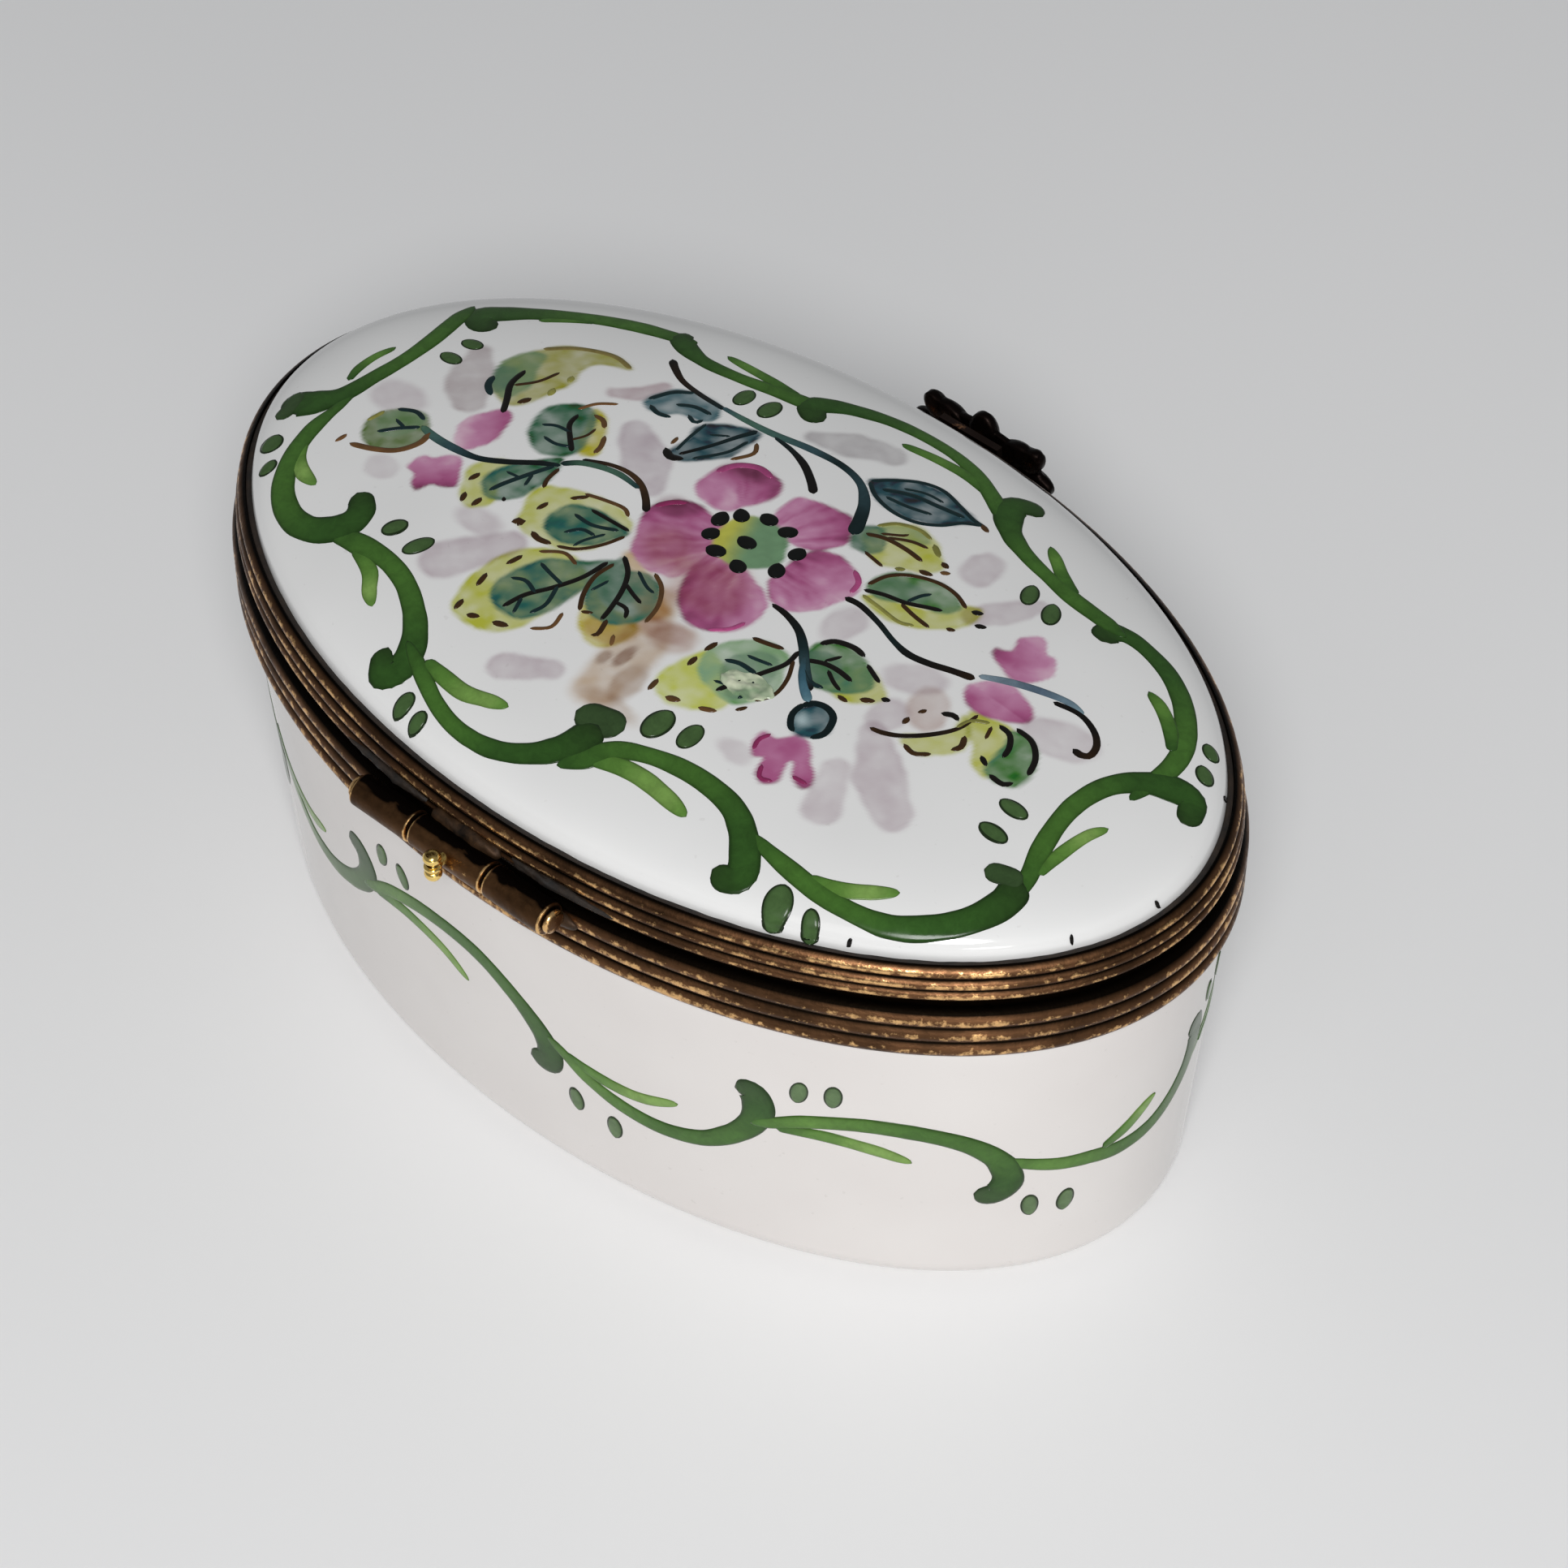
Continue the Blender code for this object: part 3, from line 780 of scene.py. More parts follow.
def clasp_relief(x, z):
    """Height of the cast leaf spray above its back, and how much of it is crest."""
    height, crest = np.zeros(np.shape(x)), np.zeros(np.shape(x))
    for cx, cz, angle, half_long, half_wide, tall in LOBES:
        c, s = facing(angle)
        a = ((x - cx) * c + (z - cz) * s) / half_long
        b = (-(x - cx) * s + (z - cz) * c) / half_wide
        inside = np.clip(1 - a * a - b * b, 0, 1)
        rib = 0.16 * np.exp(-(b / 0.16) ** 2) * (a > -0.7)
        frill = 0.06 * np.cos(9 * a + 5 * np.abs(b)) * np.abs(b)
        leaf = tall * inside ** 0.55 * (1 - rib + frill)
        crest = np.where(leaf > height, inside, crest)
        height = np.maximum(height, leaf)
    for cx, cz, r, tall in EYE_BEADS:
        d = np.clip(1 - ((x - cx) ** 2 + (z - cz) ** 2) / r ** 2, 0, 1)
        height = height + tall * np.sqrt(d) * (d > 0)
        crest = np.maximum(crest, d)
    return height, crest


def build_clasp():
    """Rings of points, from the middle of the back out to the edge and in over the front."""
    around, front_rings, back_rings, back = 260, 46, 18, 0.38
    low, high = CLASP_LOW, CLASP_HIGH
    centre_z, back_y = (low[2] + high[2]) / 2 - 0.45, high[1]
    turn = circle(around)
    c, s = np.cos(turn), np.sin(turn)
    reach = np.linspace(0.2, 5.2, 260)
    inside = clasp_relief(reach[None] * c[:, None], reach[None] * s[:, None])[0] > 0.03
    edge = np.array([reach[row].max() for row in inside])
    scale_x = (high[0] - low[0]) / 2 / np.abs(edge * c).max()
    scale_z = (high[2] - low[2]) / 2 * 0.9 / np.abs(edge * s).max()
    verts, wear = [], []

    def ring(part, depth_of, worn):
        x, z = edge * part * c, edge * part * s
        height, crest = clasp_relief(x * 0.995, z * 0.995)
        verts.append(np.stack([x * scale_x, back_y - depth_of(height), centre_z + z * scale_z], -1))
        wear.append(0.12 + worn * crest ** 1.4)
    for part in 0.02 + 0.98 * np.linspace(0, 1, back_rings) ** 0.7:
        ring(part, lambda height: 0.30 * (1 - np.clip(height / 0.7, 0, 1) ** 0.5), 0.5)
    for part in 1 - np.linspace(0, 1, front_rings)[:-1] ** 1.15 * 0.985:
        ring(part, lambda height: back + (back_y - low[1] - back) * height / 1.62, 0.62)
    count = len(verts)
    quads = [(n, i, j, m) for i, j, m, n in bands(count, around, inward=True)]
    first, last = end_caps(count, around, inward=True)
    place(new_mesh("clasp_leaf_spray", np.vstack(verts), [first, *quads, last], CLASP_BLACK,
                   values={"wear": np.concatenate(wear)}, sharp=60),
          "lid", "blackened_brass", "clasp_ornament")


# --- scrolls round the lid ---------------------------------------------------
DARK, DEEP, LEAF, FRESH, LIGHT = (tone(*c) for c in (
    (36, 58, 25), (46, 80, 31), (64, 102, 40), (88, 128, 54), (122, 156, 80)))
HEAD, DOT, PALE_DOT = tone(52, 74, 42), tone(66, 92, 52), tone(92, 116, 78)
INK, UMBER, BROWN, TEALINK = tone(20, 17, 14), tone(58, 38, 18), tone(110, 78, 46), tone(20, 40, 42)
DOT_RIM = 0.17

SCROLLS = [  # main stroke, its widths, side stroke, its width
    ([(22.9, -5.2), (22.5, -3), (22.4, -1), (22.6, 1), (22.9, 2.8), (23.7, 4), (24.5, 4.6), (24.8, 5.3)],
     [1.2, .95, .85, .9, 1.1, 1.7, 1.8, 1.2], [(23.5, 1.9), (23.8, .9), (23.8, -.3), (23.5, -1.4)], .5),
    ([(22.4, 3.8), (22.3, 5.6), (21.7, 7.6), (20.6, 9.2), (19.2, 10.2), (17.8, 10.55), (16.6, 10.2),
     (15.9, 9.4), (15.9, 8.5), (16.4, 7.9), (17, 7.6)], [.7, .9, 1, 1.1, 1.15, 1.3, 1.6, 1.6, 1.35, 1.2,
     1.15], [(22.2, 6), (21.5, 7.3), (20.4, 8), (19.2, 8.3)], .8),
    ([(15.4, 10), (14.2, 9.95), (12.6, 9.95), (11, 10.4), (9.6, 11.2), (8.4, 12.2), (7.6, 13.3),
     (7.4, 14.3), (7.9, 14.7), (8.5, 14.3), (8.7, 13.7)], [1.3, 1.15, .95, .95, 1, 1.15, 1.35, 1.5, 1.5,
     1.1, .6], [(14.4, 10.3), (12.8, 10.9), (11.9, 11.8), (11.1, 12.4)], .75),
    ([(6.9, 13.6), (5.9, 14.1), (4.6, 14.7), (3.2, 15.1), (1.8, 15.2), (.4, 15), (-.9, 14.4),
     (-1.9, 13.5), (-2.5, 12.4), (-2.6, 11.3)], [.85, .75, .7, .72, .75, .85, 1, 1.3, 1.6, 1.7],
     [(6.6, 13.3), (5.2, 13.5), (3.8, 13.6), (2.6, 13.3), (1.5, 13)], .82),
    ([(-3.4, 12.9), (-4.2, 11.8), (-5.6, 11.1), (-7.2, 10.7), (-8.8, 10.6), (-10.4, 10.8), (-11.6, 11.4),
     (-12.6, 12.3), (-13.1, 13.1), (-12.7, 13.6), (-11.9, 13.7)], [1.5, .95, .85, .95, 1, 1.05, 1.15,
     1.35, 1.4, 1.1, .95], [(-3.6, 12.9), (-4.8, 12.4), (-6.2, 12.2), (-7.8, 12.3), (-9.2, 12.5)], .9),
    ([(-13, 11.5), (-14.6, 11.6), (-16.4, 11.6), (-18.2, 11.3), (-19.8, 10.7), (-21.2, 9.6), (-22.3, 8.2),
     (-22.9, 6.6), (-22.8, 5.2)], [.8, .85, .85, .8, .85, 1, 1.1, 1.35, 1.5], [(-15.6, 11.4), (-16.9, 11),
     (-18.1, 10.2), (-19.2, 9.3)], .72),
    ([(-22.8, 4.6), (-22.3, 3.2), (-21.9, 1.5), (-21.8, 0), (-22.1, -1.6), (-22.9, -2.9), (-24, -3.8),
     (-25, -4.1), (-25.5, -3.5), (-25.6, -2.7)], [1, .9, .88, .92, 1, 1.15, 1.5, 1.4, 1.15, .9],
     [(-23.1, 4.4), (-23.1, 2.8), (-23.3, 1.2), (-23.7, .2)], .6),
    ([(-23.3, -3.2), (-23.3, -4.8), (-22.9, -6.2), (-22.1, -7.4), (-20.9, -8.6), (-19.4, -9.5),
     (-17.8, -9.9), (-16.6, -9.9), (-15.9, -9.4), (-16, -8.6)], [1, .95, .95, 1, 1, .95, .85, .95, 1.4,
     1.7], [(-22.7, -5.6), (-21.8, -6.6), (-20.6, -7.4), (-19.6, -7.7)], .7),
    ([(-15.2, -9.8), (-13.2, -9.9), (-11.4, -10.2), (-9.8, -10.6), (-8.4, -11.2), (-7.4, -12.1),
     (-7, -13), (-7.5, -13.6), (-8.3, -13.6)], [1.1, .9, .75, .8, 1, 1.4, 1.5, 1.2, .8], [(-13.2, -10.2),
     (-12, -10.7), (-11, -11.4), (-10.1, -12)], .68),
    ([(-6.9, -12.2), (-5.6, -12.9), (-4.2, -13.6), (-2.4, -14), (-.4, -14), (1.4, -13.7), (3, -13.1),
     (4.2, -12.4), (4.8, -11.7), (4.3, -11.2), (3.6, -11.1)], [1.2, .85, .75, .72, .75, .8, .9, 1.15, 1.4,
     1.3, 1], [(-6.2, -12.6), (-4.2, -13.1), (-2.2, -13), (-.2, -12.6)], .62),
    ([(5.4, -11.6), (7.2, -11.2), (9, -10.8), (11, -10.6), (12.5, -10.9), (13.2, -11.4), (13, -11.9)],
     [1.2, .8, .72, .8, 1.1, 1.3, 1], [(5.8, -11.8), (7.6, -11.8), (9.2, -11.8), (10.6, -11.8)], .58),
    ([(13.8, -11.2), (15.4, -10.7), (17, -10), (18.6, -9.1), (20.2, -8), (21.4, -7), (22.1, -6.2),
     (21.6, -5.6), (20.7, -5.7)], [1.1, 1, .95, .95, 1.1, 1.4, 1.6, 1.5, 1.1], [(17.4, -9.4),
     (18.6, -8.6), (19.6, -7.6)], .5),
]
HEADS = [  # short strokes that end a scroll: points, width
    ([(-3.7, 10.75), (-2.7, 10.95), (-1.2, 11.3)], 1.75), ([(-22.9, 5.2), (-22, 5.5), (-21.2, 5.9)], 1.1),
    ([(25, 3.8), (24.6, 4.9), (24.6, 5.8)], 1),
]
DOTS = [  # x, y, length, width, angle
    (20.6, -3.9, 1.1, .75, 10), (20.6, -2.4, 1.2, .75, 0), (23.5, 7.2, 1.1, 1.1, 100),
    (22.4, 8.5, .9, .7, 90), (13.8, 8.2, 1.2, .9, 65), (12, 8.4, 1.5, .85, 65), (5.9, 15.5, 1.1, .85, 90),
    (4.7, 15.8, .9, .75, 90), (-4.65, 9.5, 1.75, 1.25, 88), (-6.3, 9.1, 1.45, 1, 92),
    (-15.3, 13.1, 1.65, 1.3, 110), (-17, 12.8, 1.1, .75, 130), (-20, 2.45, 1.4, .75, 2),
    (-20.2, 4.1, 1.4, .8, 2), (-23.75, -7.2, .95, .7, 150), (-24.5, -5.8, 1.05, .75, 145),
    (-11.75, -8.5, 1.3, .8, 115), (-13.3, -8.2, 1.35, .85, 120), (7.6, -9.75, 1.3, .9, 95),
    (6.05, -9.9, 1.4, .95, 92),
]


def run_in(points, reach):
    """Starts a stroke a little earlier, under the head that it grows out of."""
    p, q = np.array(points[0], float), np.array(points[1], float)
    return [tuple(p + (p - q) / np.hypot(*(p - q)) * reach)] + list(points)


def build_scrolls():
    paint = Enamel("lid_scroll_enamel", lid_skin, "lid", "porcelain", ENAMEL)
    for main, widths, side, side_width in reversed(SCROLLS):
        # Side strokes on the -Y half get darker greens than those on the +Y half: painted shade on the
        # lid's far side.
        side_colours_with_painted_shade = [LEAF, FRESH, LIGHT, FRESH] if main[0][1] > 0 else [DEEP, LEAF, FRESH, LEAF]
        swell = [side_width * part for part in (0.8, 1.15, 1.05, 0.8)]
        paint.stroke(side, swell, side_colours_with_painted_shade, 0.7, tips=(1, 2.4))
        paint.stroke(run_in(main, 1.4), [widths[0] * 0.5, widths[0] * 0.9] + [w * 1.14 for w in widths[1:]],
                     [DEEP, LEAF, LEAF, DEEP, DEEP, DARK], 0.8, tips=(2.2, 1))
    for points, width in HEADS:
        paint.stroke(points, width, HEAD, 0.8)
    for x, y, length, width, angle in DOTS:
        paint.dot(x, y, length, width, angle, DOT, 0.5, rim=DOT_RIM)
    paint.finish()


# --- watercolour on the lid --------------------------------------------------
def outline(points, per=5):
    """A closed smooth curve through the points, as a polygon."""
    p = np.asarray(points, float)
    return np.vstack([catmull(*(p[(i + k) % len(p)] for k in (-1, 0, 1, 2)), per) for i in range(len(p))])


def from_segment(X, Y, p, q):
    """For each point, the nearest place on the line from p to q, as 0 to 1, and how far off it is."""
    d = q - p
    t = np.clip(((X - p[0]) * d[0] + (Y - p[1]) * d[1]) / max(d @ d, 1e-12), 0, 1)
    return t, np.hypot(X - p[0] - t * d[0], Y - p[1] - t * d[1])


def inside_depth(X, Y, polygon):
    """Distance in from the polygon's edge: positive inside it, negative outside."""
    depth = np.full(X.shape, 1e9)
    inside = np.zeros(X.shape, bool)
    for p, q in zip(polygon, np.roll(polygon, -1, axis=0)):
        depth = np.minimum(depth, from_segment(X, Y, p, q)[1])
        if p[1] != q[1]:
            crosses = (p[1] > Y) != (q[1] > Y)
            inside ^= crosses & (X < p[0] + (Y - p[1]) * (q[0] - p[0]) / (q[1] - p[1]))
    return np.where(inside, depth, -depth)


def near_box(X, Y, polygon, margin):
    """Indices of the points within a margin of the polygon's box."""
    low, high = polygon.min(0) - margin, polygon.max(0) + margin
    return np.flatnonzero((X > low[0]) & (X < high[0]) & (Y > low[1]) & (Y < high[1]))


def touch_depth(X, Y, kind, where, soft):
    """The points that one brush touch may reach, how deep in it each lies, and a seed for its streaks."""
    if kind == "blob":
        cx, cy, rx, ry, angle = where
        near = np.flatnonzero(np.hypot(X - cx, Y - cy) < max(rx, ry) + soft + 0.2)
        c, s = facing(angle)
        x, y = X[near] - cx, Y[near] - cy
        return near, (1 - np.hypot((x * c + y * s) / rx, (-x * s + y * c) / ry)) * min(rx, ry), cx
    if kind == "path":
        points = np.asarray(where[0], float)
        widths = spread(where[1], len(points))
        away = np.full(X.shape, -9.0)
        for p, q, wp, wq in zip(points, points[1:], widths, widths[1:]):
            t, off = from_segment(X, Y, p, q)
            away = np.maximum(away, (wp * (1 - t) + wq * t) / 2 - off)
        return np.arange(X.size), away, 1.0
    polygon = outline(where)
    near = near_box(X, Y, polygon, soft)
    return near, inside_depth(X[near], Y[near], polygon), where[0][0]


def wash(X, Y, C, kind, where, colour, amount, soft, pool=0.0, cover=False):
    """Lays one watercolour touch on the glaze colours C: tinting them, or covering them."""
    near, away, seed = touch_depth(X, Y, kind, where, soft)
    keep = away > -soft
    near, away = near[keep], away[keep]
    if not len(near):
        return
    streak = 1 + 0.32 * ripple(X[near], Y[near], 0.9, seed) + 0.13 * ripple(X[near], Y[near], 0.4, seed + 1)
    strength = amount * smooth(away / soft * 0.5 + 0.5) * streak
    strength = strength * (1 + pool * np.exp(-((away - soft * 0.5) / 0.16) ** 2))
    strength = np.clip(strength, 0, 1.2)[:, None]
    if cover:
        C[near] = np.clip(C[near] * (1 - strength) + colour * strength, 0.004, 1)
    else:
        C[near] *= np.clip(1 - strength * (1 - colour), 0.004, 1)


MAGENTA, PLUM = tone(176, 78, 130), tone(134, 44, 88)
PETAL_TONES = (tone(244, 212, 228), tone(214, 146, 186), tone(184, 92, 144), tone(126, 42, 86))
GREY_PINK = tone(214, 202, 208)
YELLOW, OLIVE, TEAL = tone(208, 211, 126), tone(178, 176, 92), tone(84, 124, 100)
GREEN, BLUE = tone(108, 146, 100), tone(66, 98, 106)
STAIN, BLUSH = tone(206, 176, 142), tone(198, 140, 128)
EYE_GREEN, EYE_YELLOW = tone(118, 158, 118), tone(204, 204, 84)
EYE_X, EYE_Y, EYE_R = 0.05, -1.95, 2.0

SHADOWS = [  # pale leaves behind: kind, where it lies, colour, amount, softness
    ('path', ([(-12.4, 3.4), (-14.4, 5.2), (-16.2, 6.4)], [1.4, 2.6, 2]), GREY_PINK, .8, .3),
    ('path', ([(-12.6, 6.2), (-13.6, 8.2)], [1.4, 2]), GREY_PINK, .7, .3),
    ('blob', (-18.8, -2.2, 1.9, 1.2, 20), GREY_PINK, .7, .35),
    ('blob', (-11.6, -.4, 1.6, 1, 30), GREY_PINK, .65, .35),
    ('blob', (-6.9, -.8, .9, 1.4, 0), GREY_PINK, .65, .35),
    ('blob', (-9.1, -8.2, 1, 1.3, 0), GREY_PINK, .8, .3),
    ('path', ([(-12.6, -8.2), (-11.6, -6.4), (-10.8, -5.4)], [.9, 1.6, 1.2]), GREY_PINK, .8, .3),
    ('path', ([(8.6, 5.6), (10.4, 8.2)], [1.6, 2.6]), GREY_PINK, .85, .35),
    ('blob', (10.9, 5.4, 1.4, .8, 0), GREY_PINK, .6, .4),
    ('path', ([(1.4, 10.2), (3.4, 11.4)], [1.2, 1.6]), GREY_PINK, .85, .3),
    ('path', ([(19.8, -3.6), (18.4, -1.6), (17.4, -.4)], [1.4, 2.6, 1.6]), tone(196, 184, 186), .8, .35),
    ('blob', (20.4, 1.4, 1.6, 1.2, 0), GREY_PINK, .6, .5),
    ('blob', (17.4, 5.6, 1, .8, 0), GREY_PINK, .5, .3),
    ('path', ([(9.6, -4.2), (7.6, -2.8), (6.2, -1.8)], [1.6, 2.6, 1.4]), tone(204, 190, 198), .8, .35),
    ('path', ([(12.6, -5.6), (11.6, -6.4), (11, -7.6)], [.8, 1.2, .8]), tone(200, 178, 184), .8, .3),
    ('path', ([(3.2, -9.8), (1.2, -10.8), (-.6, -11.6)], [.9, 2, 1.4]), tone(200, 196, 198), .8, .35),
    ('blob', (-12.2, 2.2, .9, 1.2, 0), GREY_PINK, .7, .3),
    ('blob', (-8.4, 8.4, 1, .6, 0), GREY_PINK, .5, .3),
    ('blob', (-13.3, .6, 1, 1.4, 30), tone(222, 208, 204), .9, .3),
]
STAINS = [  # the ochre patch, in the same form
    ('path', ([(.6, 3.6), (-.6, 6.2), (-1, 9.6)], [1.4, 2.8, 2.4]), STAIN, .75, .7),
    ('blob', (-1.6, 5.2, 1.2, 1, 20), tone(214, 190, 178), .8, .5),
    ('blob', (-1.9, 8.6, .7, 1.3, 10), tone(186, 158, 134), .55, .3),
    ('blob', (-.6, 7.4, .35, .7, 0), tone(150, 108, 80), .6, .2),
    ('blob', (.1, 8.1, .3, .45, 0), tone(140, 96, 66), .6, .2),
    ('blob', (-2.2, 10.2, 1.6, .6, 0), tone(190, 160, 130), .5, .4),
    ('blob', (1.1, 6.6, 1.3, .9, 30), tone(214, 176, 92), .7, .35),
    ('path', ([(3.6, 2.6), (2.4, 3.3), (.4, 4.4)], [.8, 1.3, 1.5]), tone(214, 176, 116), .8, .5),
    ('blob', (-.9, 5.1, 1.5, .7, 10), tone(216, 190, 184), .7, .4),
]
PETALS = [  # outlines of the flower's five petals
    [(4.95, -4.4), (4.8, -3.5), (4.2, -2.85), (3.3, -2.6), (2.5, -2.8), (2, -3.5), (1.5, -4.3),
     (1.35, -5.2), (1.7, -5.9), (2.5, -6.25), (3.3, -6.25), (4.1, -5.9), (4.7, -5.2)],
    [(.6, -5.9), (-.2, -6.3), (-1.2, -6.45), (-2.3, -6.6), (-2.8, -5.9), (-3.35, -5.1), (-3.1, -4.2),
     (-2.6, -3.6), (-1.8, -3.3), (-.6, -3.4), (.3, -3.8), (.7, -4.6), (.75, -5.3)],
    [(-2.6, -3.7), (-3.4, -4.05), (-4.4, -4.05), (-5.2, -3.85), (-5.7, -3.2), (-5.95, -2.5),
     (-5.75, -1.6), (-5.3, -.6), (-4.6, .25), (-3.6, .45), (-2.9, 0), (-2.3, -.6), (-2.2, -1.6),
     (-2.2, -2.7)],
    [(.8, -.3), (1.05, .8), (.8, 2.1), (.2, 3), (-.6, 3.75), (-1.5, 4), (-2.4, 3.75), (-3.2, 3),
     (-3.65, 1.9), (-3.55, .8), (-2.8, .1), (-1.8, -.2), (-.6, -.4)],
    [(1.3, -1.9), (2.4, -2.1), (3.4, -2.35), (4.3, -2.15), (5, -1.3), (5.35, -.5), (5.05, .5), (4.4, 1.4),
     (3.9, 2.25), (3, 2.55), (2, 2.55), (1.2, 2.2), (.95, 1.2), (1, .2), (1.1, -.8)],
]
PETAL_SIDES = [(0.1, -1.0), (-0.6, -0.8), (0.9, -0.4), (0.5, 0.85), (0.75, -0.65)]  # where colour gathers
BLOSSOMS = [  # outline, heavy side, depth of colour
    ([(15.2, -1.2), (15.9, -1), (16.5, .2), (16.3, 1.4), (15.5, 2.3), (14.8, 2.1), (14.35, 1), (14.5, 0),
     (14.8, -.9)], (-.7, -.7), .4),
    ([(15.3, 2.9), (14.6, 2.8), (13.9, 3.6), (13.45, 4.4), (14, 4.95), (14.5, 5.1), (14.85, 5.8),
     (15.4, 5.6), (15.7, 5), (16.4, 4.8), (16.3, 3.8), (15.8, 3.5)], (-.8, .6), .5),
    ([(-15.2, -3.5), (-14.2, -3.6), (-13.2, -4.1), (-13, -4.6), (-13.6, -4.9), (-13.4, -5.9),
     (-14.1, -6.75), (-14.8, -6), (-15.3, -6.05), (-15.95, -5.2), (-15.8, -4.2)], (.9, .4), .34),
    ([(-15, -3.3), (-15.9, -3.1), (-16.8, -2.7), (-17.2, -2), (-16.7, -1.5), (-15.9, -1.1), (-15.1, -.8),
     (-14.2, -.9), (-13.75, -1.7), (-13.9, -2.4), (-14.4, -3)], (-.4, .9), .46),
    ([(-9.9, 5.8), (-9.4, 6.5), (-8.6, 6.6), (-8.65, 7.5), (-9.2, 8.1), (-9.7, 7.9), (-10, 8.8),
     (-10.7, 9), (-11.1, 8.4), (-10.7, 7.4), (-10.9, 7.2), (-11.4, 7.9), (-12.2, 8), (-12.35, 7.4),
     (-11.6, 6.7), (-10.9, 5.8)], (-.6, .8), .66),
]
HALOS = [  # outline, colour, amount: the warm underwash of each leaf
    ([(15.4, -1.6), (14.8, -2.6), (14.7, -3.8), (14.6, -5), (14.9, -6.2), (14.2, -7), (13.1, -7.5),
     (14.4, -7.95), (15.9, -7.5), (17.2, -6.5), (18, -5.2), (18.3, -4), (17.9, -2.8), (17.2, -1.9),
     (16.3, -1.5)], OLIVE, .8),
    ([(12.3, -4.1), (11.4, -4), (10.7, -3.3), (10.1, -2.4), (9.9, -1.6), (10.5, -1), (11.2, -1.6),
     (11.6, -2.6), (12, -3.3)], tone(204, 196, 84), .9),
    ([(12.2, 1.4), (13.4, 1.8), (13.9, 2.9), (13.4, 4), (12.8, 4.9), (11.9, 5), (11.2, 4.2), (11.6, 3.4),
     (12.3, 2.6)], YELLOW, .9),
    ([(5.4, .7), (7, .4), (8.5, .8), (9.9, 1.3), (10.3, 2.4), (9.9, 3.6), (9.3, 4.5), (7.9, 4.7),
     (6.6, 4.4), (5.6, 3.6), (5, 2.4), (4.8, 1.4)], YELLOW, .88),
    ([(5.2, 4.3), (6.4, 4.4), (7.6, 5.2), (8.4, 6.4), (8.6, 7.7), (8.5, 9), (8, 10.2), (6.9, 10.6),
     (5.8, 10.4), (4.9, 9.8), (4.4, 8.8), (4.1, 7), (3.9, 5.2)], YELLOW, .95),
    ([(3.9, 4.6), (3.4, 6), (3, 6.8), (2.2, 7.6), (1.2, 8), (.3, 7.4), (.1, 6), (1.2, 5.4), (2.6, 5.6)],
     tone(214, 204, 104), .9),
    ([(-3.3, 4.6), (-2.8, 6.2), (-2.6, 7.4), (-3.2, 8.2), (-4.4, 8.3), (-5.5, 7.8), (-6.3, 6.9),
     (-5.8, 5.6), (-4.4, 4.8)], tone(218, 224, 138), .95),
    ([(-9.6, .4), (-11, 1.1), (-11.5, 1.6), (-10.9, 2.4), (-10, 2.9), (-9.2, 2.6), (-9.2, 1.4)], YELLOW,
     .95),
    ([(-6.2, -2.9), (-7.4, -3.6), (-9, -4.2), (-10, -5.6), (-10.9, -6), (-11.1, -4.8), (-10.3, -3.6),
     (-9.2, -2.7), (-8, -2.4), (-7, -2.5)], YELLOW, .92),
    ([(-3.4, -6), (-3.6, -7.2), (-4.5, -8.1), (-5.7, -8.3), (-6.9, -7.7), (-7.8, -7), (-7.5, -6.2),
     (-6.4, -5.4), (-5.4, -4.95), (-4.4, -5.2)], YELLOW, .95),
    ([(-14.9, -.7), (-16, -1.1), (-17, -1.2), (-17.7, -.2), (-17.6, .9), (-18, 2), (-16.9, 1.7),
     (-16.2, .8), (-15.4, .4)], YELLOW, .92),
    ([(-14.8, -.3), (-15.6, .2), (-16.1, 1.2), (-15.7, 2.2), (-14.9, 2.95), (-13.9, 3.1), (-13.5, 2.6),
     (-14.4, 1.7), (-14.9, .8)], YELLOW, .8),
]
